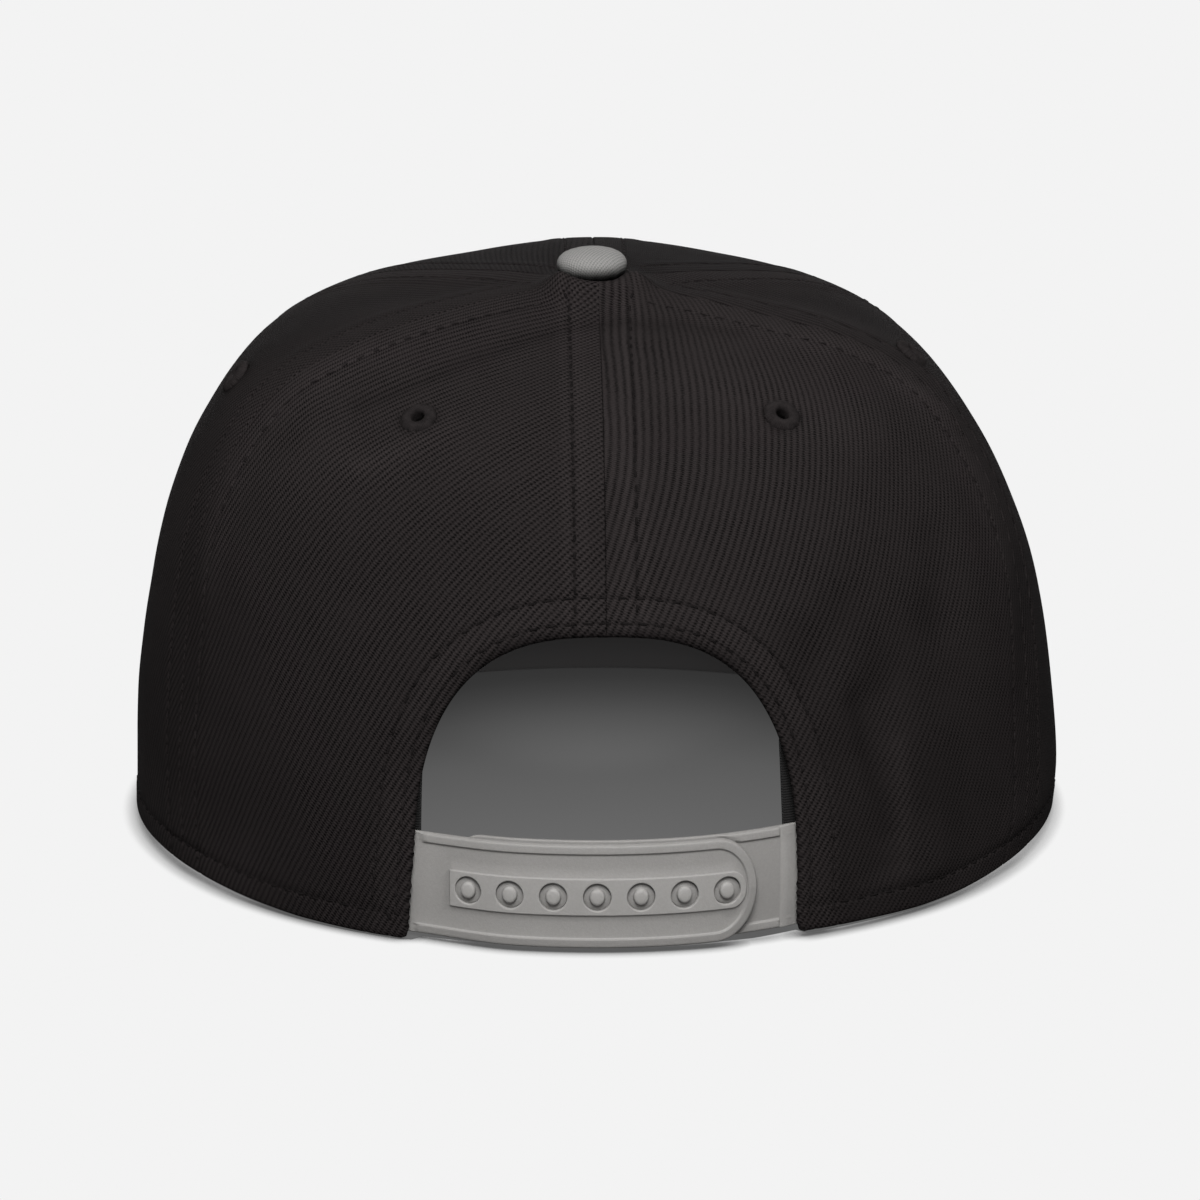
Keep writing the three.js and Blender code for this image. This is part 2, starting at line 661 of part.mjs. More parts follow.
function visor() {
  const halfWidth = visorEdge(1).x;
  const grid = (height) => {
    const rows = [];
    for (let row = 0; row <= VISOR_ROWS; row++) {
      const forward = row / VISOR_ROWS;
      const points = [];
      for (let step = VISOR_STEPS; step >= 0; step--) {
        const turn = (2 * step) / VISOR_STEPS - 1;
        const seam = visorSeam(turn, height);
        const edge = visorEdge(turn);
        const across = mix(seam.x, edge.x, forward);
        const camber = VISOR_CAMBER * forward * Math.max(0, 1 - (across / halfWidth) ** 2);
        points.push(new THREE.Vector3(across, mix(seam.y, edge.y, forward), height + camber));
      }
      rows.push(points);
    }
    return rows;
  };
  return closedSheet(grid(VISOR_LIFT), grid(VISOR_LIFT + VISOR_THICKNESS));
}

// Materials
const MATERIALS = {
  cloth: { color: CLOTH_COLOUR, roughness: 0.95, metalness: 0 },
  greyCloth: { color: GREY_COLOUR, roughness: 0.9, metalness: 0 },
  thread: { color: 0x242222, roughness: 0.7, metalness: 0 },
  band: { color: 0x161515, roughness: 0.9, metalness: 0 },
  plastic: { color: GREY_COLOUR, roughness: 0.45, metalness: 0 },
};

function piece(name, geometry, material) {
  const mesh = new THREE.Mesh(geometry, new THREE.MeshStandardMaterial(MATERIALS[material]));
  mesh.name = name;
  return mesh;
}

const cap = new THREE.Group();

PANELS.forEach(({ name, seam, material }, index) => {
  cap.add(piece(name, panelSolid(seam, EYELETS[index]), material));
});

EYELETS.forEach((eyelet) => {
  const { place, direction } = eyeletSeat(eyelet);
  cap.add(pointOut(piece(eyelet.name, eyeletSolid(), "thread"), place, direction));
});

const buttonSeat = new THREE.Vector3(BUTTON_SHIFT, 0, CROWN_HEIGHT + CLEARANCE);
cap.add(pointOut(piece("button", buttonSolid(), "greyCloth"), buttonSeat, new THREE.Vector3(0, 0, 1)));

cap.add(piece("strap_outer", outerStrap(), "plastic"));
cap.add(piece("strap_inner", innerStrap(), "plastic"));
cap.add(piece("sweatband", sweatband(), "band"));
cap.add(piece("visor", visor(), "greyCloth"));

// The origin lies under the middle of the whole cap, on the surface it stands on
const whole = new THREE.Box3().setFromObject(cap);
const middle = whole.getCenter(new THREE.Vector3());
cap.children.forEach((mesh) => mesh.position.sub(new THREE.Vector3(middle.x, middle.y, whole.min.z)));

export default cap;
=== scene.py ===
# The looks of a snapback cap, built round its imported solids.
# Lengths are in millimetres about the crown's axis. Meshes are made from them in the frame's metres.
# Azimuths are in degrees round the crown from the middle of the back, growing towards the wearer's right.
# A share is how far up the crown's cloth a place is: 0 at the rim, 1 at the button.
import math
from types import SimpleNamespace

import bpy
import numpy as np
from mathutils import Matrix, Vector, geometry
from mathutils.bvhtree import BVHTree
from mathutils.kdtree import KDTree


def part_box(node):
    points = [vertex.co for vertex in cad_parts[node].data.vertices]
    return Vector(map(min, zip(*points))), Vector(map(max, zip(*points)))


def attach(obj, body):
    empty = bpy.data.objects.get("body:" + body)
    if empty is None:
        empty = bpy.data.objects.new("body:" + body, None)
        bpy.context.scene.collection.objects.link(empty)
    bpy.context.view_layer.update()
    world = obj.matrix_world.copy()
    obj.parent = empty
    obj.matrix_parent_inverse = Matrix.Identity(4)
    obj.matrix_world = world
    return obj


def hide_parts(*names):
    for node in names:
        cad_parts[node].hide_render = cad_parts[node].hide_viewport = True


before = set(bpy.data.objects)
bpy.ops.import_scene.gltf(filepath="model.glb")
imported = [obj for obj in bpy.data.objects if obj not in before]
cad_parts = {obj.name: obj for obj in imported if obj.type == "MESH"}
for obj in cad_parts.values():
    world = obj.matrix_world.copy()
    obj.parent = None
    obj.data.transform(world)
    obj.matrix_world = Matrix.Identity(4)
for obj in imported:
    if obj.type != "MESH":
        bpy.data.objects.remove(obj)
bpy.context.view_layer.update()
rng = np.random.default_rng(11)

MM = 0.001

# Crown
HALF_WIDTH = 93.0
REAR_REACH = 92.0
FRONT_REACH = 94.0
CROWN_HEIGHT = 110.0
CLOTH = 2.0
CLEARANCE = 0.3
SEAM_RISE = 1.1
CLOTH_LENGTH = 1.35 * CROWN_HEIGHT

# Opening over the strap
ARCH_HALF_WIDTH = 37.3
ARCH_HEIGHT = 59.3
ARCH_SPRING = 12.0
ARCH_SHIFT = -0.2
ARCH_ROUNDNESS = 2.6
FOOT_FLARE = 1.2
SCALLOP_LENGTH = 2.1
SCALLOP_DEPTH = 0.18
SCALLOPS_TO = 23.0
FOOT_ROUNDING = 1.4

# Sewing
SEAM_ROW = 6.0
SEAM_FOLD = 7.9
FOLD_SOFTNESS = 3.0
SEAM_STAND = 0.22
ARCH_ROWS = (2.5, 7.5)
ARCH_FOLD = 9.4
HEM_ROW = 4.8
HEM_FOLD = HEM_ROW + 0.9
HEM_SOFTNESS = 1.2
GROOVE_DEPTH = 0.22
GROOVE_WIDTH = 0.4
TIPS_MEET = 9.0
TIPS_OPEN = 22.0
TIP_RISE = 0.5
TIP_RISE_REAR = 3.3
TIP_RISE_AT = 7.6
TIP_RISE_WIDTH = 3.5
SEAM_ROUNDING = 0.4
EDGE_ROUNDING = 0.95
RIPPLE_HEIGHT = 0.3
RIPPLES_FROM = 6.0

# Snap strap
STRAP_WIDTH = 20.4
STRAP_THICKNESS = 1.2
STRAP_LIFT = 0.6
STRAP_RISE_LEFT = 0.2
STRAP_RISE_RIGHT = 0.7
STRAP_BOW = 1.9
STRAP_BOW_TO = 0.45
STRAP_TONGUE = 9.0
BORDER_WIDTH = 1.7
BORDER_RISE = 0.45
BORDER_STEP = 0.25
OUTER_END = 29.6
INNER_END = -33.0
INNER_LIFT = 0.5
INNER_BORDER_GAP = 2.0
END_ROUNDNESS = 0.8
SNAP_SHIFT = -2.0
PEG_COUNT = 7
PEG_PITCH = 8.45
PEG_RADIUS = 1.5
PEG_STAND = 0.6
HOLE_RADIUS = 2.7
RIB_WIDTH = 7.2
RIB_LENGTH = 58.5
RIB_RISE = 0.35

# The crown's profiles at even shares, as in the part's source
PROFILE = {
    "left_out": (1.005, 1.005, 1.0, 0.975, 0.935, 0.865, 0.745, 0.555, 0.295, 0),
    "left_up": (0, 0.12, 0.26, 0.42, 0.58, 0.725, 0.86, 0.935, 0.975, 1),
    "right_out": (0.99, 1.0, 0.99, 0.965, 0.915, 0.83, 0.705, 0.525, 0.28, 0),
    "right_up": (0, 0.1, 0.235, 0.39, 0.55, 0.705, 0.845, 0.925, 0.97, 1),
    "rear_out": (0.99, 0.98, 0.95, 0.9, 0.835, 0.745, 0.625, 0.46, 0.24, 0),
    "rear_up": (0, 0.12, 0.255, 0.405, 0.555, 0.69, 0.795, 0.875, 0.945, 1),
    "front_out": (0.98, 1.0, 1.0, 0.99, 0.97, 0.91, 0.8, 0.62, 0.34, 0),
    "front_up": (0, 0.14, 0.29, 0.45, 0.61, 0.75, 0.855, 0.935, 0.98, 1),
}

# Where the slanting seams run, as azimuths at even shares
SEAMS = {
    "rear_left": (-62, -63, -66, -65, -67),
    "rear_right": (63, 66, 73, 73, 66),
    "front_right": (120, 121, 122, 121, 116),
    "front_left": (-120, -121, -122, -121, -116),
}

# Soft folds: both ends' azimuth and share, the width, and the depth, negative for a raised fold
FOLDS = (
    ((-46, 0.68), (-14, 0.89), 7, 1.1),
    ((10, 0.9), (60, 0.8), 7, 0.9),
    ((44, 0.36), (50, 0.56), 13, 1.4),
    ((36, 0.1), (36, 0.32), 6, 1.3),
    ((44, 0.08), (46, 0.34), 6, -0.9),
    ((26, 0.36), (33, 0.44), 6, 0.9),
    ((-52, 0.44), (-48, 0.62), 12, -0.8),
)

# Sharper creases and ridges: a line of azimuths and shares, the width, the depth, and the cloth's tint, which
# paints shade into a crease where negative and a highlight onto a ridge where positive
CREASES = (
    (((-48, 0.7), (-43, 0.756), (-38, 0.824), (-31, 0.872), (-16, 0.912), (12, 0.92), (41, 0.896),
      (54, 0.85)), 1.9, 0.45, -0.21),
    (((-39, 0.614), (-28, 0.702)), 2.6, -0.3, 0.14),
    (((65, 0.74), (65.5, 0.7)), 3.0, 0.4, -0.15),
    (((66, 0.69), (74, 0.61)), 2.4, -0.3, 0.14),
    (((53, 0.5), (49, 0.4)), 4.6, 0.5, -0.13),
    (((33, 0.33), (37, 0.15)), 2.3, 0.45, -0.17),
    (((39.2, 0.26), (39, 0.08)), 2.0, -0.35, 0.16),
    (((26, 0.41), (30.5, 0.27)), 6.0, 0.45, -0.1),
    (((-71, 0.54), (-64, 0.38), (-60, 0.27)), 6.0, 0.3, -0.12),
    (((73, 0.42), (64, 0.28)), 4.0, 0.3, -0.12),
)

# Broad patches of painted light and painted shade: a line of azimuths and shares, the width, and the cloth's
# tint
LIGHT_AND_SHADE_PATCHES = (
    (((34, 0.44), (36, 0.38)), 7.0, -0.17),
    (((47, 0.42), (44, 0.31), (42, 0.2)), 5.0, -0.16),
    (((-88, 0.12), (-63, 0.06), (-50, 0.04)), 9.0, 0.24),
    (((48, 0.03), (56, 0.06), (70, 0.14)), 8.0, 0.28),
    (((-0.8, 0.6), (-0.8, 0.53)), 4.5, -0.14),
    (((-45, 0.45), (-20, 0.55)), 13.0, -0.07),
    (((24, 0.8), (45, 0.68)), 11.0, 0.1),
    (((-52, 0.58), (-36, 0.64)), 6.0, 0.1),
)

# How far the hem is lifted at azimuths round the crown, and up to which share the cloth is lifted with it
HEM_LIFT_SHARE = 0.16
HEM_LIFTS = (
    (-180, 0), (-120, 0.5), (-85, 1.5), (-70, 1.8), (-60, 1.5), (-50, 0.9), (-40, 0.2), (-30, 0),
    (18, 0), (25, 1.0), (34, 0.9), (42, 0.6), (50, 0.9), (58, 1.5), (68, 2.1), (78, 2.1), (90, 1.6),
    (120, 0.5), (180, 0),
)

# The panels in order round the crown, each with the azimuth and share of its eyelet
PANELS = (
    ("rear_right", 36, 0.71),
    ("side_right", 84, 0.69),
    ("front_right", 150, 0.6),
    ("front_left", 210, 0.6),
    ("side_left", 275, 0.64),
    ("rear_left", 325, 0.71),
)

# Which of them are rear ones, with the side each is on, and which are side and front ones
REAR_SIDES = {0: 1, 5: -1}
SIDE_PANELS = (1, 4)
FRONT_PANELS = (2, 3)

# Camera, found from the photograph
CAMERA_YAW = 1.2
CAMERA_ELEVATION = 17.0
CAMERA_AIM = (0.4, 0.0, 42.8)
CAMERA_DISTANCE = 1500.0
PIXELS_PER_MM = 4.957
FRAME_PIXELS = 1200
SENSOR_MM = 36.0

# The button sits a little to one side of the crown's axis
BUTTON_SHIFT = -1.2
button_low, button_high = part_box("button")
AXIS = np.array([
    (button_low.x + button_high.x) / 2 - BUTTON_SHIFT * MM,
    (button_low.y + button_high.y) / 2,
    0.0,
])


def to_frame(points):
    return np.asarray(points, float) * MM + AXIS


def smooth(value):
    value = np.clip(value, 0, 1)
    return value * value * (3 - 2 * value)


def climb(value, start, over):
    """0 up to a start and 1 from a span past it; a negative span goes down instead."""
    return smooth((value - start) / over)


def bell(distance, width):
    """1 at a distance of 0, falling away over a width."""
    return np.exp(-((distance / width) ** 2))


def mix(start, end, part):
    return start + (end - start) * part


def unit(vectors):
    return vectors / np.maximum(np.linalg.norm(vectors, axis=-1, keepdims=True), 1e-12)


def as_arrays(*values):
    return np.broadcast_arrays(*(np.asarray(value, float) for value in values))


# Crown form
def column(values, share):
    """A table's column at a share, on the smooth curve through its rows."""
    values = np.asarray(values, float)
    last = len(values) - 1
    place = np.clip(share, 0, 1) * last
    row = np.minimum(np.floor(place).astype(int), last - 1)
    part = place - row
    rows = np.concatenate([[2 * values[0] - values[1]], values, [2 * values[-1] - values[-2]]])
    before, here, after, beyond = (rows[row + step] for step in range(4))
    slope_here = (after - before) / 2
    slope_after = (beyond - here) / 2
    square = 3 * (after - here) - 2 * slope_here - slope_after
    cube = 2 * (here - after) + slope_here + slope_after
    return here + slope_here * part + square * part**2 + cube * part**3


def profiles_at(share, is_first, first, second):
    """How far out and how far up the crown is at a share, by one of two of its profiles."""
    measures = []
    for way in ("out", "up"):
        columns = [column(PROFILE[f"{name}_{way}"], share) for name in (first, second)]
        measures.append(np.where(is_first, *columns))
    return measures


def crown_form(azimuth, share):
    """A place on the crown before its folds and seams."""
    azimuth, share = as_arrays(azimuth, share)
    sine = np.sin(np.radians(azimuth))
    cosine = np.cos(np.radians(azimuth))
    side_out, side_up = profiles_at(share, sine > 0, "right", "left")
    end_out, end_up = profiles_at(share, cosine > 0, "rear", "front")
    reach = np.where(cosine > 0, REAR_REACH, FRONT_REACH)
    lift = hem_lift(azimuth) * smooth(1 - share / HEM_LIFT_SHARE)
    return np.stack([
        HALF_WIDTH * side_out * sine,
        -reach * end_out * cosine,
        CROWN_HEIGHT * (side_up * sine**2 + end_up * cosine**2) + lift,
    ], -1)


def hem_lift(azimuth):
    """How far the hem stands off the table: it curls up at the sides."""
    turned = np.mod(np.asarray(azimuth, float) + 180, 360) - 180
    places, lifts = np.array(HEM_LIFTS, float).T
    return np.interp(turned, places, lifts)


def outward(place):
    """The direction out of the crown at a place, as if the crown were half an ellipsoid."""
    reach = np.where(place[..., 1] < 0, REAR_REACH, FRONT_REACH)
    return unit(np.stack([
        place[..., 0] / HALF_WIDTH**2,
        place[..., 1] / reach**2,
        place[..., 2] / CROWN_HEIGHT**2,
    ], -1))


def seam_azimuths(share):
    """The six seams' azimuths at a share, from the back seam all the way round to it again."""
    share = np.asarray(share, float)
    flat = np.zeros_like(share)
    return [
        flat,
        column(SEAMS["rear_right"], share),
        column(SEAMS["front_right"], share),
        flat + 180,
        360 + column(SEAMS["front_left"], share),
        360 + column(SEAMS["rear_left"], share),
        flat + 360,
    ]


def seam_relief(azimuth, share):
    """The cloth stands up a little along the seams and sinks a little between them."""
    around = np.mod(azimuth, 360)
    seams = seam_azimuths(share)
    across = np.zeros_like(around)
    for start, end in zip(seams[:-1], seams[1:]):
        across = np.where((around >= start) & (around <= end), (around - start) / (end - start), across)
    return 0.5 * SEAM_RISE * np.sin(math.pi * share) * np.cos(2 * math.pi * across)


def laid_flat(azimuth, share):
    """A place on the crown's rear in millimetres across and up, where the folds are measured."""
    width = np.radians(azimuth) * HALF_WIDTH * column(PROFILE["rear_out"], share)
    return np.stack([width, np.asarray(share) * CLOTH_LENGTH], -1)


def fold_relief(azimuth, share):
    turned = np.mod(azimuth + 180, 360) - 180
    place = laid_flat(turned, share)
    relief = np.zeros_like(turned)
    for low, high, width, depth in FOLDS:
        start = laid_flat(*low)
        run = laid_flat(*high) - start
        part = np.clip((place - start) @ run / (run @ run), 0, 1)
        relief -= depth * bell(np.linalg.norm(place - start - part[..., None] * run, axis=-1), width)
    return relief


def cloth_relief(azimuth, share):
    azimuth, share = as_arrays(azimuth, share)
    return seam_relief(azimuth, share) + fold_relief(azimuth, share)


def crown_point(azimuth, share, depth=0.0):
    """A place on the crown's cloth, or at a depth under it."""
    place = crown_form(azimuth, share)
    return place + outward(place) * np.asarray(cloth_relief(azimuth, share) - depth)[..., None]


def cloth_normal(azimuth, share, turn=2.0, rise=0.02):
    across = crown_point(azimuth + turn, share) - crown_point(azimuth - turn, share)
    up = crown_point(azimuth, share + rise) - crown_point(azimuth, share - rise)
    return unit(np.cross(across, up))


def share_at_height(azimuth, height, highest=0.7, steps=30):
    azimuth, height = as_arrays(azimuth, height)
    low = np.zeros_like(azimuth)
    high = np.full_like(azimuth, highest)
    for _ in range(steps):
        middle = (low + high) / 2
        beyond = crown_form(azimuth, middle)[..., 2] > height
        high = np.where(beyond, middle, high)
        low = np.where(beyond, low, middle)
    return (low + high) / 2


# Meshes
def grid_faces(rows, columns, start=0, flip=False, wrap=False):
    """Quads over a grid of points that are stored row after row."""
    faces = []
    for row in range(rows - 1):
        for place in range(columns if wrap else columns - 1):
            after = (place + 1) % columns
            corners = (row * columns + place, row * columns + after, (row + 1) * columns + after,
                       (row + 1) * columns + place)
            corners = tuple(start + corner for corner in corners)
            faces.append(corners[::-1] if flip else corners)
    return faces


def walls(line, under, flip=False):
    """Quads from a line of points to the same line on a sheet's other side."""
    faces = [(a, b, b + under, a + under) for a, b in zip(line, line[1:])]
    return [face[::-1] for face in faces] if flip else faces


def closed(faces, under):
    """A sheet's faces, the same faces on its other side, and the walls round its border."""
    edges = set()
    for face in faces:
        for pair in zip(face, face[1:] + face[:1]):
            if pair[::-1] in edges:
                edges.remove(pair[::-1])
            else:
                edges.add(pair)
    other_side = [tuple(corner + under for corner in face[::-1]) for face in faces]
    return faces + other_side + [(b, a, a + under, b + under) for a, b in sorted(edges)]


def both_sides(values):
    """A sheet's values row after row, once for its outer side and once for its inner one."""
    return np.concatenate([values.reshape(-1, *values.shape[2:])] * 2)


def ends(sides, count):
    """The two round faces that close a turned shape."""
    return [tuple(range(sides))[::-1], tuple(range(count - sides, count))]


def new_object(name, points, faces, material):
    mesh = bpy.data.meshes.new(name)
    mesh.from_pydata(to_frame(points).tolist(), [], [list(map(int, face)) for face in faces])
    mesh.materials.append(material)
    made = bpy.data.objects.new(name, mesh)
    bpy.context.scene.collection.objects.link(made)
    return made


def add_piece(name, points, faces, slot, material, node=None, cloth=None, **amounts):
    """A piece of the cap, with the amounts that its material reads at each point."""
    piece = new_object(name, points, faces, material)
    mesh = piece.data
    if cloth is not None:
        flat = np.zeros((len(points), 3))
        flat[:, :2] = cloth
        attribute = mesh.attributes.new("cloth", "FLOAT_VECTOR", "POINT")
        attribute.data.foreach_set("vector", flat.ravel())
    for amount, values in amounts.items():
        attribute = mesh.attributes.new(amount, "FLOAT", "POINT")
        attribute.data.foreach_set("value", values)
    mesh.shade_smooth()
    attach(piece, "root")
    if node:
        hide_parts(node)


def join(parts):
    """Joins lists of (points, faces) into one."""
    points, faces, start = [], [], 0
    for some_points, some_faces in parts:
        points.append(some_points)
        faces += [tuple(start + corner for corner in face) for face in some_faces]
        start += len(some_points)
    return np.concatenate(points), faces


def lathe(profile, sides):
    """Points and faces of a round shape about +Z, from (radius, height) rows."""
    turns = np.linspace(0, 2 * math.pi, sides, endpoint=False)
    rows = [[(radius * math.cos(turn), radius * math.sin(turn), height) for turn in turns]
            for radius, height in profile]
    return np.array(rows).reshape(-1, 3), grid_faces(len(profile), sides, wrap=True)


def turned_to(points, place, direction):
    """Points made about +Z, turned to point along a direction at a place."""
    turn = Vector((0, 0, 1)).rotation_difference(Vector(direction)).to_matrix()
    return points @ np.array(turn).T + place


def run_along(line):
    return np.concatenate([[0], np.cumsum(np.linalg.norm(np.diff(line, axis=0), axis=1))])


def at_lengths(line, lengths, run=None):
    run = run_along(line) if run is None else run
    return np.stack([np.interp(lengths, run, line[:, axis]) for axis in range(line.shape[1])], -1)


def evenly(line, count):
    """A line's points again, at even distances along it."""
    run = run_along(line)
    return at_lengths(line, np.linspace(0, run[-1], count), run)


def distance_to(points, line):
    """How far points lie from a line given by many points, measured to the nearest two segments."""
    tree = KDTree(len(line))
    for index, spot in enumerate(line):
        tree.insert(spot, index)
    tree.balance()
    flat = points.reshape(-1, 3)
    nearest = np.array([tree.find(spot)[1] for spot in flat])
    best = np.full(len(flat), np.inf)
    for start in (np.maximum(nearest - 1, 0), np.minimum(nearest, len(line) - 2)):
        run = line[start + 1] - line[start]
        part = np.clip(((flat - line[start]) * run).sum(-1) / np.maximum((run * run).sum(-1), 1e-12), 0, 1)
        best = np.minimum(best, np.linalg.norm(flat - line[start] - part[:, None] * run, axis=1))
    return best.reshape(points.shape[:-1])


def surface_tree(parts):
    points, faces = join(parts)
    return BVHTree.FromPolygons([Vector(point) for point in points], faces)


# Materials. A noise has a scale, a detail and a roughness.
DRIFT_SCALE = 0.05
UNEVEN_SCALE = 0.6
FUZZ_NOISE = (2.6, 3, 0.7)
PATCH_NOISE = (0.14, 3, 0.6)
MOTTLE_NOISE = (0.06, 3, 0.6)
STRAND_NOISE = (5200, 2, 0.6)
LINT_NOISE = (700, 2, 0.6)
GRAIN_NOISE = (1900, 3, 0.75)
CLOUD_NOISE = (90, 3, 0.6)
TWILL_LEAN = 30.0
RIB_STAGGER = 0.37
RIB_UNEVEN = 0.7
FLOAT_UNEVEN = 0.8
GAP_SHARPNESS = 1.4
GAP_DEPTH = 0.34
GAP_PITTING = 0.5
FLOAT_DIP = 0.34
FUZZ = 0.9
WEAVE_MIDDLE = 0.68
WEAVE_SHOWN = (1.5, 0.42)
MOTTLE = 0.12
WEAVE_TONE = 0.8
TAPE_PITCH = 0.5
TAPE_PICKS = 0.35
PICK_SHARE = 0.25


class Nodes:
    """The nodes of a material or a world, with a short call for each kind."""

    def __init__(self, owner):
        owner.use_nodes = True
        self.nodes = owner.node_tree.nodes
        self.links = owner.node_tree.links
        self.surface = self.nodes.get("Principled BSDF")

    def fill(self, node, sockets):
        """Sets a node's sockets to values, or links them to other nodes' outputs."""
        for socket, value in sockets.items():
            if isinstance(value, bpy.types.NodeSocket):
                self.links.new(value, node.inputs[socket])
            else:
                node.inputs[socket].default_value = value

    def make(self, kind, sockets, **settings):
        node = self.nodes.new(f"ShaderNode{kind}")
        for name, value in settings.items():
            setattr(node, name, value)
        self.fill(node, sockets)
        return node

    def math(self, operation, *values):
        return self.make("Math", dict(enumerate(values)), operation=operation).outputs[0]

    def along(self, vector, direction):
        return self.make("VectorMath", {0: vector, 1: direction}, operation="DOT_PRODUCT").outputs["Value"]

    def noise(self, vector, scale, detail=2.0, roughness=0.5):
        sockets = {"Vector": vector, "Scale": scale, "Detail": detail, "Roughness": roughness}
        return self.make("TexNoise", sockets).outputs[0]

    def wave(self, value, pitch):
        """A smooth wave from 0 to 1 along a value."""
        turned = self.math("MULTIPLY", value, 2 * math.pi / pitch)
        return self.math("MULTIPLY_ADD", self.math("SINE", turned), 0.5, 0.5)

    def attribute(self, name, output="Fac"):
        return self.make("Attribute", {}, attribute_name=name).outputs[output]

    def place(self, output="Object"):
        return self.make("TexCoord", {}).outputs[output]

    def ramp(self, value, stops, interpolation="LINEAR"):
        """Colours or tones at places along a value."""
        node = self.make("ValToRGB", {0: value})
        node.color_ramp.interpolation = interpolation
        elements = node.color_ramp.elements
        while len(elements) < len(stops):
            elements.new(0.5)
        for element, (place, colour) in zip(elements, stops):
            element.position = place
            element.color = (*(colour if isinstance(colour, tuple) else (colour,) * 3), 1)
        return node.outputs[0]

    def tinted(self, colour):
        """A colour made paler or darker by the mesh's own tint, which is mostly painted light and shade."""
        scale = self.math("ADD", self.attribute("tint"), 1.0)
        return self.make("VectorMath", {0: colour, "Scale": scale}, operation="SCALE").outputs[0]

    def bump(self, height, depth, strength=1.0):
        node = self.make("Bump", {"Height": height, "Distance": depth * MM, "Strength": strength})
        self.links.new(node.outputs[0], self.surface.inputs["Normal"])

    def finish(self, colour, roughness, specular, **others):
        """Sets the surface's own sockets."""
        sockets = {"Base Color": colour, "Roughness": roughness, "Specular IOR Level": specular}
        self.fill(self.surface, sockets | {name.replace("_", " "): value for name, value in others.items()})

    def glow(self, colour, under):
        """Makes the surface shine by itself in a colour, without a gloss."""
        self.finish((under, under, under, 1), 1.0, 0.0, Emission_Color=colour, Emission_Strength=1.0)


def new_material(name):
    material = bpy.data.materials.new(name)
    return material, Nodes(material)


def twill_relief(look, place, pitch, float_length, wander):
    """Ribs that lean to the right of the cloth's own upward line, each a row of short floats."""
    sine, cosine = math.sin(math.radians(TWILL_LEAN)), math.cos(math.radians(TWILL_LEAN))
    across = look.along(place, (cosine, -sine, 0))
    along = look.along(place, (sine, cosine, 0))
    across = look.math("MULTIPLY_ADD", look.noise(place, DRIFT_SCALE), wander, across)
    uneven = look.noise(place, UNEVEN_SCALE)
    across = look.math("MULTIPLY_ADD", uneven, RIB_UNEVEN * wander, across)
    rib = look.wave(across, pitch)
    index = look.math("FLOOR", look.math("DIVIDE", across, pitch))
    shifted = look.math("MULTIPLY_ADD", index, RIB_STAGGER * float_length, along)
    shifted = look.math("MULTIPLY_ADD", uneven, FLOAT_UNEVEN * float_length, shifted)
    pit = look.wave(shifted, float_length)
    gap = look.math("POWER", look.math("SUBTRACT", 1.0, rib), GAP_SHARPNESS)
    hollow = look.math("MULTIPLY", gap, look.math("MULTIPLY_ADD", pit, GAP_PITTING, GAP_DEPTH))
    dip = look.math("MULTIPLY", look.math("MULTIPLY", rib, pit), FLOAT_DIP)
    height = look.math("SUBTRACT", look.math("SUBTRACT", 1.0, hollow), dip)
    fuzz = look.math("SUBTRACT", look.noise(place, *FUZZ_NOISE), 0.5)
    return look.math("MULTIPLY_ADD", fuzz, FUZZ, height)


def twill(name, dark, light, pitch=1.2, float_length=0.58, depth=0.16, wander=0.5):
    """Twill that is mottled, with patches where its ribs are flatter."""
    material, look = new_material(name)
    place = look.attribute("cloth", "Vector")
    height = twill_relief(look, place, pitch, float_length, wander)
    shown = look.math("MULTIPLY_ADD", look.noise(place, *PATCH_NOISE), *WEAVE_SHOWN)
    shown = look.math("SUBTRACT", shown, look.attribute("plain"))
    height = look.math("MULTIPLY_ADD", look.math("SUBTRACT", height, WEAVE_MIDDLE), shown, WEAVE_MIDDLE)
    weave = look.math("MULTIPLY", height, WEAVE_TONE)
    tone = look.math("MULTIPLY_ADD", look.noise(place, *MOTTLE_NOISE), MOTTLE, weave)
    look.finish(look.tinted(look.ramp(tone, ((0.15, dark), (0.95, light)))), 0.9, 0.03)
    look.bump(height, depth)
    return material


def ribbed_tape(name, dark, light):
    material, look = new_material(name)
    place = look.attribute("cloth", "Vector")
    ribs = look.wave(look.along(place, (0, 1, 0)), TAPE_PITCH)
    picks = look.wave(look.along(place, (1, 0, 0)), TAPE_PICKS)
    height = look.math("SUBTRACT", look.math("MULTIPLY_ADD", picks, PICK_SHARE, ribs), 0.5)
    height = look.math("ADD", look.math("MULTIPLY", height, look.attribute("ribbed")), 0.5)
    look.finish(look.tinted(look.ramp(height, ((0, dark), (1, light)))), 0.85, 0.12, Sheen_Weight=0.05)
    look.bump(height, 0.12)
    return material


def sewing_thread(name, dark, light, sheen=0.0):
    material, look = new_material(name)
    strands = look.noise(look.place(), *STRAND_NOISE)
    lint = look.noise(look.place(), *LINT_NOISE)
    tone = look.math("MULTIPLY_ADD", lint, 0.5, look.math("MULTIPLY", strands, 0.5))
    colour = look.tinted(look.ramp(tone, ((0.3, dark), (0.7, light))))
    look.finish(colour, 0.8, 0.03, Sheen_Weight=sheen, Sheen_Roughness=0.3)
    look.bump(strands, 0.05)
    return material


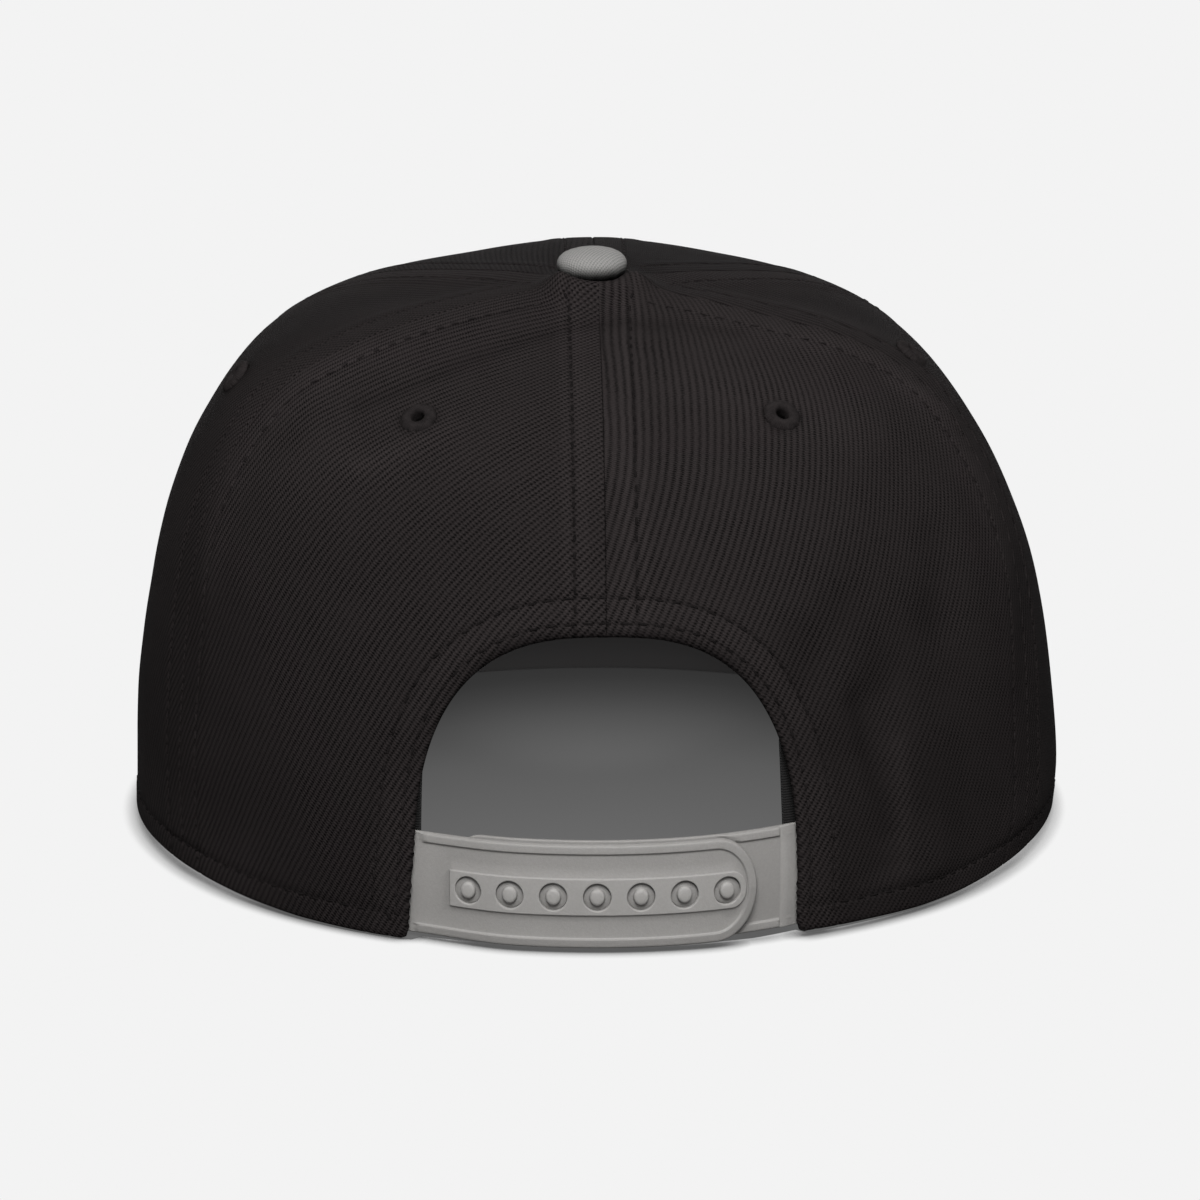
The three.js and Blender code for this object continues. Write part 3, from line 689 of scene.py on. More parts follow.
def moulded_plastic(name, dark, light):
    """Slightly translucent soft plastic with a fine matte grain."""
    material, look = new_material(name)
    grain = look.noise(look.place(), *GRAIN_NOISE)
    cloud = look.noise(look.place(), *CLOUD_NOISE)
    tone = look.math("MULTIPLY_ADD", grain, 0.45, look.math("MULTIPLY", cloud, 0.1))
    # the raised amount paints highlights on the raised border, rib, pad and peg tops, shade on the lower
    # border, and bounce light on the plate's lower part
    tone = look.math("MULTIPLY_ADD", look.attribute("raised"), 0.5, tone)
    look.finish(look.ramp(tone, ((0.15, dark), (0.85, light))), 0.55, 0.25, Subsurface_Weight=0.25,
                Subsurface_Radius=(1, 0.95, 0.9), Subsurface_Scale=0.0008)
    look.bump(grain, 0.06, 0.8)
    return material


BLACK_TWILL = twill("black_twill", (0.002, 0.0017, 0.0017), (0.0189, 0.016, 0.016))
GREY_TWILL = twill("grey_twill", (0.113, 0.1112, 0.1086), (0.198, 0.1945, 0.1885), pitch=0.62,
                   float_length=0.5, depth=0.1, wander=0.3)
BLACK_THREAD = sewing_thread("black_thread", (0.0022, 0.0019, 0.0019), (0.0088, 0.0075, 0.0075))
EYELET_THREAD = sewing_thread("eyelet_thread", (0.006, 0.0052, 0.0052), (0.0178, 0.0152, 0.0152))
GREY_THREAD = sewing_thread("grey_thread", (0.2, 0.195, 0.19), (0.42, 0.41, 0.4), sheen=0.3)
BLACK_TAPE = ribbed_tape("black_tape", (0.002, 0.002, 0.002), (0.0095, 0.009, 0.009))
GREY_PLASTIC = moulded_plastic("grey_plastic", (0.165, 0.16, 0.154), (0.235, 0.229, 0.221))

# Spacing of a sheet's rows of points
ROUNDING = (0, 0.05, 0.18, 0.38, 0.65, 1.0)
AROUND = (-0.7, -0.42, -0.2, 0, 0.2, 0.42, 0.7)
COARSE = 1.0
COARSE_FROM = 1.9
FINE_ROWS = 260
FINE_COLUMNS = 90
REAR_ROWS = 170
WHOLE_ROWS = 88
REAR_COLUMNS = 34
WHOLE_COLUMNS = 38
TOP_SHARE = 0.985
RIM_SAMPLES = 4000
SEAM_SAMPLES = 1500
ARCH_SAMPLES = 1200
SEAM_REACH = 10
ARCH_REACH = 11
RIM_REACH = 7


def rows_near(features, reach):
    """Distances from an edge where rows of points run: close together at the edge and at each feature."""
    rows = set(ROUNDING) | {round(feature + step, 2) for feature in features for step in AROUND}
    for row in np.arange(COARSE_FROM, reach, COARSE):
        if min(abs(row - near) for near in rows) > 0.5 * COARSE:
            rows.add(round(float(row), 2))
    return np.array(sorted(rows))


def spread(length, start, end, middle_count):
    """Places along a length: fixed distances from both its ends, and even steps between them."""
    part = min(1.0, 0.47 * length / max(start[-1], end[-1]))
    first = start * part
    last = length - end[::-1] * part
    middle = np.linspace(first[-1], last[0], middle_count + 2)[1:-1]
    return np.concatenate([first, middle, last])


def plan(azimuth, share):
    """A place on the crown seen from above, as a share of the rim's reach."""
    azimuth, share = as_arrays(azimuth, share)
    turn = np.radians(azimuth)
    return np.stack([(1 - share) * np.sin(turn), -(1 - share) * np.cos(turn)], -1)


def from_plan(spots):
    azimuth = np.degrees(np.arctan2(spots[..., 0], -spots[..., 1]))
    return azimuth, np.clip(1 - np.hypot(spots[..., 0], spots[..., 1]), 0, 1)


def respace(grid, start, end, middle_count):
    """Moves the points of each row of a grid, along that row, to fixed distances from its ends."""
    rows = []
    for row in grid:
        run = run_along(crown_form(*from_plan(row)))
        rows.append(at_lengths(row, spread(run[-1], start, end, middle_count), run))
    return np.array(rows)


def rear_place(across, height, steps=40):
    """The azimuth and share of the places on the crown's rear that lie this far across and this high."""
    across, height = as_arrays(across, height)
    azimuth = np.degrees(np.arcsin(across / HALF_WIDTH))
    share = height / CLOTH_LENGTH
    for _ in range(steps):
        place = crown_point(azimuth, share)
        azimuth = azimuth + np.degrees((across - place[..., 0]) / REAR_REACH)
        share = np.clip(share + (height - place[..., 2]) / CLOTH_LENGTH, 0, 1)
    return azimuth, share


def arch_line(side):
    """The opening's edge on one side, seen from above, from its foot to the middle of its top."""
    straight = np.linspace(0, ARCH_SPRING, 40)[:-1]
    turn = np.linspace(0, math.pi / 2, 160)
    bend = np.cos(turn).clip(0) ** (2 / ARCH_ROUNDNESS)
    rise = np.sin(turn) ** (2 / ARCH_ROUNDNESS)
    across = ARCH_SHIFT + side * ARCH_HALF_WIDTH * np.concatenate([np.ones_like(straight), bend])
    height = np.concatenate([straight, ARCH_SPRING + (ARCH_HEIGHT - ARCH_SPRING) * rise])
    low = smooth((SCALLOPS_TO - height) / 3)
    across = across - side * low * SCALLOP_DEPTH * np.cos(2 * math.pi * height / SCALLOP_LENGTH)
    across = across + side * edge_drop(height, FOOT_ROUNDING)
    if side < 0:
        across = across - FOOT_FLARE * smooth(1 - height / (STRAP_LIFT + STRAP_WIDTH))
    foot = math.degrees(math.asin((ARCH_HALF_WIDTH + FOOT_ROUNDING) / HALF_WIDTH))
    height = height + hem_lift(side * foot) * smooth(1 - height / ARCH_SPRING)
    keep = side * across > 0.4
    across = np.append(across[keep], 0)
    height = np.append(height[keep], ARCH_HEIGHT)
    return plan(*rear_place(across, height))


def rear_plan(side):
    """A rear panel from above: its rows run from the opening to the side seam, from the rim upwards."""
    arch = arch_line(side)
    run = run_along(crown_form(*from_plan(arch)))
    arch = at_lengths(arch, np.linspace(0, run[-1], FINE_ROWS), run)
    foot = from_plan(arch[0])[0]
    across = np.linspace(0, 1, FINE_COLUMNS)
    share = np.linspace(0, 1, FINE_ROWS)
    azimuths = SEAMS["rear_right" if side > 0 else "rear_left"]
    rim = plan(mix(foot, azimuths[0], across), 0)
    arch[0] = rim[0]
    seam = plan(column(azimuths, share), share)
    back = mix(arch[-1], seam[-1], across[:, None])
    u = across[None, :, None]
    v = share[:, None, None]
    sheet = (1 - v) * rim[None] + v * back[None] + (1 - u) * arch[:, None] + u * seam[:, None]
    low_corners = (1 - u) * (1 - v) * rim[0] + u * (1 - v) * rim[-1]
    return sheet - (low_corners + (1 - u) * v * back[0] + u * v * back[-1])


def whole_plan(seam):
    """A side or front panel seen from above: its rows run from seam to seam, from the rim upwards."""
    share = np.linspace(0, TOP_SHARE, FINE_ROWS)[:, None]
    seams = seam_azimuths(share)
    across = np.linspace(0, 1, FINE_COLUMNS)[None]
    return plan(mix(seams[seam], seams[seam + 1], across), np.broadcast_to(share, (FINE_ROWS, FINE_COLUMNS)))


def seam_line(seam, from_share=0.0):
    share = np.linspace(from_share, 1, SEAM_SAMPLES)
    return crown_point(seam_azimuths(share)[seam], share)


def edge_drop(distance, radius):
    """How far a rounded edge falls away at a distance inside it."""
    inside = radius - np.minimum(distance, radius)
    return radius - np.sqrt(np.maximum(radius**2 - inside**2, 0))


def groove(distance, row):
    return GROOVE_DEPTH * bell(distance - row, GROOVE_WIDTH)


# Panels. A tint makes the cloth paler, or darker where it is negative; most tints below are painted light and
# painted shade.
# A pair of numbers says where something begins, and over how much it comes in or, where negative, goes out.
FAR = 1e3
ROW_BESIDE = 0.3
ROW_SOFTNESS = 0.6
# Painted sheen on the doubled cloth beside the seams and between the opening's stitch rows
SEAM_SHEEN_TINT = 0.11
SEAM_SHEEN_HEIGHTS = (34.0, 14)
SHOULDER_HEIGHTS = (55.0, 30)
# Painted shade in the grooves along the stitch rows
ROW_SHADE_TINT = -0.16
ROW_SHADE_WIDTH = 0.35
ARCH_ROW_HEIGHTS = (25, 20)
# Painted highlight on the ridges beside the back seam's stitch rows
RIDGE_HIGHLIGHT_TINT = 0.16
RIDGE_BESIDE = 1.4
RIDGE_WIDTH = 0.9
# Painted highlight on the rear panels' shoulders, beside the side seams
SHOULDER_HIGHLIGHT_TINT = 0.2
SHOULDER_WIDTH = 4
SHOULDER_LIT_FROM = (50, 15)
SHOULDER_LIT_TO = (108, -8)
FOOT_TINT = 0.17
FOOT_REACH = (9, -4)
FOOT_HEIGHTS = (38, -10)
# Painted light on the cloth just below the button, lifting its shade
BELOW_BUTTON_LIGHT_TINT = 0.08
BELOW_BUTTON_AT = 9
BELOW_BUTTON_WIDTH = 2.5
# Painted shade on the side panels' upper cloth, away from their seams
SIDE_CROWN_SHADE_TINT = -0.22
SIDE_CROWN_REACH = (9, 12)
SIDE_CROWN_HEIGHTS = (60, 20)
# Painted shade on the lower cloth, darker towards the rim
LOW_SHADE_TINT = -0.13
LOW_SHARES = (0.5, -0.35)
# Painted shade in the crease along the hem's stitch row
HEM_SHADE_TINT = -0.22
HEM_SHADE_AT = HEM_ROW + 0.4
HEM_SHADE_WIDTH = 0.9
# Painted shade along the upper part of the opening's edge
ARCH_EDGE_SHADE_TINT = -0.32
ARCH_EDGE_REACH = (2.3, -1.4)
ARCH_EDGE_HEIGHTS = (46, 10)
# Painted shade on the tops of the front and side panels
FRONT_TOP_SHADE_TINT = -0.45
SIDE_TOP_SHADE_TINT = -0.14
TOP_HEIGHTS = (88, 12)
EYELET_CUT = 2.3
EYELET_EDGE = 3.9
# Painted shade in a ring round each eyelet
EYELET_SHADE_TINT = -0.3
EYELET_SHADE_WIDTH = 0.5
PLAINEST = 0.4
PLAINER = 0.14
PLAIN_AZIMUTHS = (20, 15)
PLAIN_LOW = (0.5, -0.2)
PLAIN_TOP = (0.74, 0.1)


def panel_spots(index, side):
    """The azimuths and shares of a panel's points, closest together at its edges and its stitch rows."""
    near_seam = rows_near((SEAM_ROW, SEAM_FOLD), SEAM_REACH)
    near_rim = rows_near((HEM_ROW,), RIM_REACH)
    if side:
        near_arch = rows_near((*ARCH_ROWS, ARCH_FOLD), ARCH_REACH)
        spots = respace(rear_plan(side), near_arch, near_seam, REAR_COLUMNS)
        top_rows, row_count = near_seam, REAR_ROWS
    else:
        spots = respace(whole_plan(index), near_seam, near_seam, WHOLE_COLUMNS)
        top_rows, row_count = np.array([0.0, 1.0]), WHOLE_ROWS
    spots = respace(spots.transpose(1, 0, 2), near_rim, top_rows, row_count).transpose(1, 0, 2)
    azimuth, share = from_plan(spots)
    start = seam_azimuths(0.5)[index]
    return np.where(azimuth < start - 90, azimuth + 360, azimuth), share


def edge_distances(index, side, base):
    """How far a panel's points lie from its rim, its opening and its seams, or FAR where it has none."""
    to_rim = distance_to(base, crown_point(np.linspace(0, 360, RIM_SAMPLES), 0.0))
    to_rim[0] = 0
    if not side:
        to_seam = np.minimum(distance_to(base, seam_line(index)), distance_to(base, seam_line(index + 1)))
        to_seam[:, 0] = 0
        to_seam[:, -1] = 0
        far = np.full(to_rim.shape, FAR)
        return {"to_rim": to_rim, "to_arch": far, "to_back": far, "to_side": far, "to_seam": to_seam}
    to_arch = distance_to(base, evenly(crown_point(*from_plan(arch_line(side))), ARCH_SAMPLES))
    to_arch[:, 0] = 0
    to_back = distance_to(base, seam_line(0, float(share_at_height(0.0, ARCH_HEIGHT))))
    to_back[-1] = 0
    to_side = distance_to(base, seam_line(1 if side > 0 else 5))
    to_side[:, -1] = 0
    return {"to_rim": to_rim, "to_arch": to_arch, "to_back": to_back, "to_side": to_side,
            "to_seam": np.minimum(to_back, to_side)}


def flat_cloth(azimuth, share, seam):
    """A panel's places laid flat: across from its middle line, and up along it."""
    fine = np.linspace(0, 1, 300)
    seams = seam_azimuths(fine)
    middle = (seams[seam] + seams[seam + 1]) / 2
    run = run_along(crown_form(middle, fine))
    place = crown_form(azimuth, share)
    reach = np.hypot(place[..., 0], place[..., 1])
    across = np.radians(azimuth - np.interp(share, fine, middle)) * reach
    return np.stack([across, np.interp(share, fine, run)], -1)


def lay_panel(index):
    """A panel's points on the crown, and how each lies to the panel's edges and to the button."""
    side = REAR_SIDES.get(index, 0)
    azimuth, share = panel_spots(index, side)
    base = crown_point(azimuth, share)
    reach = np.hypot(base[..., 0], base[..., 1])
    return SimpleNamespace(
        index=index, azimuth=azimuth, share=share, base=base, reach=reach, high=base[..., 2],
        flat=flat_cloth(azimuth, share, index),
        apart=climb(reach, TIPS_MEET, TIPS_OPEN - TIPS_MEET),
        behind=smooth(0.5 - base[..., 1] / np.maximum(reach, 1.0)),
        **edge_distances(index, side, base))


def ripples(place, waves=9, shortest=9.0, longest=45.0):
    """Slight unevenness of sewn cloth, as a sum of long waves over the flat cloth."""
    height = np.zeros(place.shape[:-1])
    for _ in range(waves):
        length = rng.uniform(shortest, longest)
        turn = rng.uniform(0, math.pi)
        phase = rng.uniform(0, 2 * math.pi)
        run = place @ np.array([math.cos(turn), math.sin(turn)])
        height += (length / longest) * np.sin(2 * math.pi * run / length + phase)
    return height / waves


def near_line(places, corners, width):
    """1 on a line of azimuths and shares across the crown, falling away over a width."""
    azimuth, share = np.array(corners, float).T
    part = np.linspace(0, len(azimuth) - 1, 30 * len(azimuth))
    step = np.arange(len(azimuth))
    line = crown_point(np.interp(part, step, azimuth), np.interp(part, step, share))
    return bell(distance_to(places, line), width)


def creases(places):
    """The relief, and the painted shade and painted light, that creases and patches give to places on the
    crown.
    """
    relief = np.zeros(places.shape[:-1])
    tint = np.zeros(places.shape[:-1])
    for corners, width, depth, paler in CREASES:
        near = near_line(places, corners, width)
        relief -= depth * near
        # painted shade in creases and painted highlights on ridges
        tint += paler * near
    # painted light and painted shade of the broad patches
    for corners, width, paler in LIGHT_AND_SHADE_PATCHES:
        tint += paler * near_line(places, corners, width)
    return relief, tint


def panel_relief(panel):
    """How far a panel's cloth stands out: doubled at its edges, and drawn in along its stitches."""
    to_seam, to_arch, to_rim = panel.to_seam, panel.to_arch, panel.to_rim
    doubled = np.maximum(
        panel.apart * smooth((SEAM_FOLD + FOLD_SOFTNESS - to_seam) / FOLD_SOFTNESS),
        smooth((ARCH_FOLD + 0.5 * FOLD_SOFTNESS - to_arch) / FOLD_SOFTNESS))
    doubled = np.maximum(doubled, smooth((HEM_FOLD - to_rim) / HEM_SOFTNESS))
    relief = SEAM_STAND * doubled - panel.apart * groove(to_seam, SEAM_ROW) - groove(to_rim, HEM_ROW)
    relief += mix(TIP_RISE, TIP_RISE_REAR, panel.behind) * bell(panel.reach - TIP_RISE_AT, TIP_RISE_WIDTH)
    for row in ARCH_ROWS:
        relief -= groove(to_arch, row)
    relief += RIPPLE_HEIGHT * ripples(panel.flat) * smooth(np.minimum(to_seam, to_rim) / RIPPLES_FROM)
    at_edge = edge_drop(np.minimum(to_arch, to_rim), EDGE_ROUNDING)
    return relief - np.maximum(at_edge, panel.apart * edge_drop(to_seam, SEAM_ROUNDING))


def seam_sheen_tint(panel):
    """Painted sheen on the doubled cloth of the folded edges, up to their stitch rows."""
    by_seam, by_back = (climb(distance, SEAM_ROW - ROW_BESIDE, -ROW_SOFTNESS)
                        for distance in (panel.to_seam, panel.to_back))
    sheen_strip = np.maximum(climb(panel.high, *SHOULDER_HEIGHTS) * by_seam, by_back) * panel.apart
    inner_row, outer_row = ARCH_ROWS
    on_arch = climb(panel.to_arch, inner_row, ROW_SOFTNESS) * climb(panel.to_arch, outer_row, -ROW_SOFTNESS)
    return SEAM_SHEEN_TINT * np.maximum(sheen_strip, on_arch * climb(panel.high, *SEAM_SHEEN_HEIGHTS))


def rear_tint(panel):
    """Painted shade in the back seam's stitch rows and painted highlights beside them, painted highlights on
    the shoulders, paler cloth at the opening's feet, and painted light below the button.
    """
    high, to_back = panel.high, panel.to_back
    tint = ROW_SHADE_TINT * bell(to_back - SEAM_ROW, ROW_SHADE_WIDTH)
    tint += RIDGE_HIGHLIGHT_TINT * bell(np.abs(to_back - SEAM_ROW) - RIDGE_BESIDE, RIDGE_WIDTH)
    # painted highlight on the shoulders
    shoulder_lit = climb(high, *SHOULDER_LIT_FROM) * climb(high, *SHOULDER_LIT_TO)
    tint += SHOULDER_HIGHLIGHT_TINT * shoulder_lit * bell(panel.to_side - SEAM_ROW, SHOULDER_WIDTH)
    tint += FOOT_TINT * climb(panel.to_arch, *FOOT_REACH) * climb(high, *FOOT_HEIGHTS)
    return tint + BELOW_BUTTON_LIGHT_TINT * bell(panel.reach - BELOW_BUTTON_AT, BELOW_BUTTON_WIDTH) * panel.behind


def panel_tint(panel):
    """How much paler or darker the panel's cloth is than its own colour, mostly by painted light and painted
    shade.
    """
    high, to_arch = panel.high, panel.to_arch
    tint = seam_sheen_tint(panel)
    # painted shade along the opening's stitch rows
    for row in ARCH_ROWS:
        tint += ROW_SHADE_TINT * climb(high, *ARCH_ROW_HEIGHTS) * bell(to_arch - row, ROW_SHADE_WIDTH)
    # painted shade on the lower cloth
    tint += LOW_SHADE_TINT * climb(panel.share, *LOW_SHARES)
    # painted shade in the hem's crease
    tint += HEM_SHADE_TINT * bell(panel.to_rim - HEM_SHADE_AT, HEM_SHADE_WIDTH)
    # painted shade along the opening's upper edge
    tint += ARCH_EDGE_SHADE_TINT * climb(to_arch, *ARCH_EDGE_REACH) * climb(high, *ARCH_EDGE_HEIGHTS)
    if panel.index in REAR_SIDES:
        return tint + rear_tint(panel)
    # painted shade on the side panels' upper cloth
    if panel.index in SIDE_PANELS:
        tint += SIDE_CROWN_SHADE_TINT * climb(panel.to_seam, *SIDE_CROWN_REACH) * climb(high, *SIDE_CROWN_HEIGHTS)
    # painted shade on the panel's top
    top_shade = FRONT_TOP_SHADE_TINT if panel.index in FRONT_PANELS else SIDE_TOP_SHADE_TINT
    return tint + top_shade * climb(high, *TOP_HEIGHTS)


def plainness(panel):
    """How far the ribs are made flatter: on the rear right panel alone."""
    plain = climb(panel.share, *PLAIN_LOW) + climb(panel.share, *PLAIN_TOP)
    plain = climb(panel.azimuth, *PLAIN_AZIMUTHS) * plain
    return np.maximum(PLAINEST * plain, PLAINER) * (panel.index == 0)


def crown_panel(index):
    """Makes one panel, with rounded edges and a hole for its eyelet. Gives its outer points and faces."""
    name, eyelet_azimuth, eyelet_share = PANELS[index]
    panel = lay_panel(index)
    eyelet = crown_point(eyelet_azimuth, eyelet_share)
    relief, tint = creases(panel.base)
    relief += panel_relief(panel)
    to_eyelet = np.linalg.norm(panel.base - eyelet, axis=-1)
    # painted shade in a ring round the eyelet
    tint += panel_tint(panel) + EYELET_SHADE_TINT * bell(to_eyelet - EYELET_EDGE, EYELET_SHADE_WIDTH)
    normal = unit(np.cross(np.gradient(panel.base, axis=1), np.gradient(panel.base, axis=0)))
    flip = (normal * outward(panel.base)).sum(-1).mean() < 0
    normal = -normal if flip else normal
    edge = np.minimum(panel.to_arch, panel.to_rim)
    outer = panel.base + normal * relief[..., None]
    inner = panel.base - normal * (CLOTH - edge_drop(edge, CLOTH - EDGE_ROUNDING))[..., None]
    outer, inner = outer.reshape(-1, 3), inner.reshape(-1, 3)
    faces = grid_faces(*panel.share.shape, flip=flip)
    clear = np.linalg.norm(outer[np.array(faces)].mean(1) - eyelet, axis=1) > EYELET_CUT
    faces = [face for face, kept in zip(faces, clear) if kept]
    add_piece(f"cloth_{name}", np.concatenate([outer, inner]), closed(faces, len(outer)), "cloth",
              BLACK_TWILL, f"panel_{name}", both_sides(panel.flat), tint=both_sides(tint),
              plain=both_sides(plainness(panel)))
    return outer, faces


CROWN_TREE = surface_tree([crown_panel(panel_index) for panel_index in range(len(PANELS))])

# Stitches
STITCH_PITCH = 3.5
STITCH_LENGTH = 2.1
THREAD_RADIUS = 0.25
THREAD_LIFT = 0.04
STITCH_SIDES = 6
STITCH_RINGS = 7
STITCH_PLUNGE = 2.2
STITCH_TAPER = 0.75
STITCH_FLATNESS = 0.85
START_SPREAD = 0.03
LENGTH_SPREAD = 0.08
STITCH_LEAN = 0.16
STITCH_WANDER = 0.05
STITCH_TILT = 0.04
ROWS_TO_BUTTON = 7.4
ROWS_FROM_SHARE = 0.012
ROWS_TO_SHARE = 0.995
ROW_SAMPLES = 900
EDGE_SAMPLES = 400
EDGE_SMOOTHINGS = 12
ROWS_ABOVE_ARCH = 3
ARCH_ROWS_FROM = 3.0
SIDE_THREAD_TINT = 0.9
LOW_THREADS = (45, -20)
CORNER_ROW = ((-43.1, 5.4), (-39.3, 1.2))


def one_stitch(spots, tree, rises, thickness):
    """A curved thread along some spots, laid on the cloth."""
    found = [tree.find_nearest(Vector(spot)) for spot in spots]
    centre = np.array([np.array(place) + np.array(normal) * rise
                       for (place, normal, _, _), rise in zip(found, rises)])
    normals = np.array([normal for _, normal, _, _ in found])
    ring_part = np.linspace(-0.5, 0.5, STITCH_RINGS)
    aside = unit(np.cross(centre[-1] - centre[0], normals[0]))
    centre += aside * (ring_part * rng.normal(0, STITCH_LEAN) + rng.normal(0, STITCH_WANDER))[:, None]
    sideways = unit(np.cross(unit(np.gradient(centre, axis=0)), normals))
    sideways += normals * rng.normal(0, STITCH_TILT)
    turns = np.linspace(0, 2 * math.pi, STITCH_SIDES, endpoint=False)[None, :, None]
    rings = centre[:, None] + thickness[:, None, None] * (
        np.cos(turns) * sideways[:, None] + STITCH_FLATNESS * np.sin(turns) * normals[:, None])
    points = rings.reshape(-1, 3)
    return points, grid_faces(STITCH_RINGS, STITCH_SIDES, wrap=True) + ends(STITCH_SIDES, len(points))


def stitch_row(line, tree, pitch=STITCH_PITCH, length=STITCH_LENGTH, radius=THREAD_RADIUS, lift=THREAD_LIFT):
    """Short curved threads along a line, each dipping into the cloth at its two ends."""
    run = run_along(line)
    count = int(run[-1] / pitch)
    starts = (np.arange(count) + 0.5) * pitch + rng.normal(0, START_SPREAD * pitch, count)
    ring_part = np.linspace(-0.5, 0.5, STITCH_RINGS)
    rises = lift - STITCH_PLUNGE * radius * (2 * ring_part) ** 6
    thickness = radius * np.sqrt(1 - STITCH_TAPER * (2 * ring_part) ** 6)
    stitches = []
    for start in starts:
        lengths = start + length * rng.normal(1, LENGTH_SPREAD) * ring_part
        stitches.append(one_stitch(at_lengths(line, lengths, run), tree, rises, thickness))
    return stitches


def beside_seam(seam, side, from_share):
    """The line of a stitch row beside a seam, up to the button or to where it meets the next seam's row."""
    share = np.linspace(from_share, ROWS_TO_SHARE, ROW_SAMPLES)
    middle = crown_point(seam_azimuths(share)[seam], share)
    across = unit(np.cross(np.gradient(middle, axis=0), outward(middle)))
    line = middle + side * SEAM_ROW * across
    ends_at = ROWS_TO_BUTTON if seam in (0, 3) else 2 * SEAM_ROW
    return line[np.hypot(line[:, 0], line[:, 1]) > ends_at]


def sew_seams():
    """A row on both sides of every seam, with paler thread beside the side seams."""
    above_arch = float(share_at_height(0.0, ARCH_HEIGHT + ROWS_ABOVE_ARCH))
    stitches = []
    tints = []
    for seam in range(len(PANELS)):
        for side in (-1, 1):
            row = stitch_row(beside_seam(seam, side, ROWS_FROM_SHARE if seam else above_arch), CROWN_TREE)
            stitches += row
            tints += [SIDE_THREAD_TINT if seam else 0.0] * (len(row) * STITCH_RINGS * STITCH_SIDES)
    add_piece("seam_stitches", *join(stitches), "thread", BLACK_THREAD, tint=np.array(tints))


def sew_opening():
    """Two rows round the opening, beside its edge without the scallops."""
    right, left = (crown_point(*from_plan(arch_line(side))) for side in (1, -1))
    edge = evenly(np.concatenate([right, left[::-1][1:]]), EDGE_SAMPLES)
    for _ in range(EDGE_SMOOTHINGS):
        edge[1:-1] = (edge[:-2] + 2 * edge[1:-1] + edge[2:]) / 4
    away = unit(np.cross(outward(edge), unit(np.gradient(edge, axis=0))))
    centre = np.array([ARCH_SHIFT, -REAR_REACH, 0.5 * ARCH_HEIGHT])
    away *= np.sign(((edge - centre) * away).sum(-1).mean())
    stitches = []
    for row in ARCH_ROWS:
        stitches += stitch_row((edge + away * row)[edge[:, 2] > ARCH_ROWS_FROM], CROWN_TREE)
    points, faces = join(stitches)
    add_piece("opening_stitches", points, faces, "thread", BLACK_THREAD,
              tint=SIDE_THREAD_TINT * climb(points[:, 2], *LOW_THREADS))


def sew_hem():
    """The row round the rim, and the short slanting one at the left foot's corner."""
    from_azimuth = float(rear_place(ARCH_SHIFT + ARCH_HALF_WIDTH + ARCH_ROWS[1], HEM_ROW)[0])
    to_azimuth = 360 + float(rear_place(ARCH_SHIFT - ARCH_HALF_WIDTH - ARCH_ROWS[1], HEM_ROW)[0])
    azimuth = np.linspace(from_azimuth, to_azimuth, ROW_SAMPLES)
    hem = crown_point(azimuth, share_at_height(azimuth, HEM_ROW + hem_lift(azimuth)))
    stitches = stitch_row(hem, CROWN_TREE)
    across, heights = np.linspace(*CORNER_ROW, 20).T
    stitches += stitch_row(crown_point(*rear_place(across, heights)), CROWN_TREE)
    add_piece("hem_stitches", *join(stitches), "thread", BLACK_THREAD)


sew_seams()
sew_opening()
sew_hem()

# Eyelets
EYELET_THREADS = 58
EYELET_LEAN = 0.12
THREAD_SAMPLES = 5
THREAD_REACH_SPREAD = 0.09
THREAD_THICKNESSES = (0.7, 1.15)
RIDGE_OUT = 0.05
RIDGE_UP = 0.12
THREADS_ABOVE = -0.15
UNEVEN_FROM = (2.4, 1.0)
EYELET_PROFILE = (
    (1.3, -2.2), (1.26, -1.0), (1.24, -0.1), (1.27, 0.4), (1.45, 0.85), (1.85, 1.1), (2.35, 1.12),
    (2.85, 0.96), (3.3, 0.66), (3.6, 0.28), (3.68, -0.1), (3.6, -0.35), (1.8, -0.4), (1.75, -2.2),
)


def satin_ring():
    """A round eyelet of satin stitches: each thread is a narrow ridge from the hole out to the cloth."""
    sides = EYELET_THREADS * THREAD_SAMPLES
    turn = np.linspace(0, 2 * math.pi, sides, endpoint=False)
    part = (np.arange(sides) % THREAD_SAMPLES) / THREAD_SAMPLES
    ridge = np.sqrt(np.maximum(1 - (2 * part - 1) ** 2, 0))
    reach = np.repeat(rng.normal(0, THREAD_REACH_SPREAD, EYELET_THREADS), THREAD_SAMPLES)
    thick = np.repeat(rng.uniform(*THREAD_THICKNESSES, EYELET_THREADS), THREAD_SAMPLES)
    rows = []
    for radius, height in EYELET_PROFILE:
        on_top = 1.0 if height > THREADS_ABOVE else 0.0
        radii = radius + on_top * (RIDGE_OUT * ridge * thick + climb(radius, *UNEVEN_FROM) * reach)
        heights = height + on_top * RIDGE_UP * (ridge * thick - 0.5)
        rows.append(np.stack([radii * np.cos(turn), radii * np.sin(turn), heights], -1))
    faces = grid_faces(len(rows), sides, wrap=True)
    last = (len(rows) - 1) * sides
    for place in range(sides):
        after = (place + 1) % sides
        faces.append((last + place, last + after, after, place))
    return np.array(rows).reshape(-1, 3), [face[::-1] for face in faces]


def eyelets():
    for name, azimuth, share in PANELS:
        points, faces = satin_ring()
        place = crown_point(azimuth, share)
        level = unit(place * np.array([1, 1, 0]))
        direction = unit(cloth_normal(float(azimuth), share) + EYELET_LEAN * level)
        add_piece(f"satin_eyelet_{name}", turned_to(points, place, direction), faces, "thread", EYELET_THREAD,
                  f"eyelet_{name}")


eyelets()

# Button
BUTTON_SIDES = 96
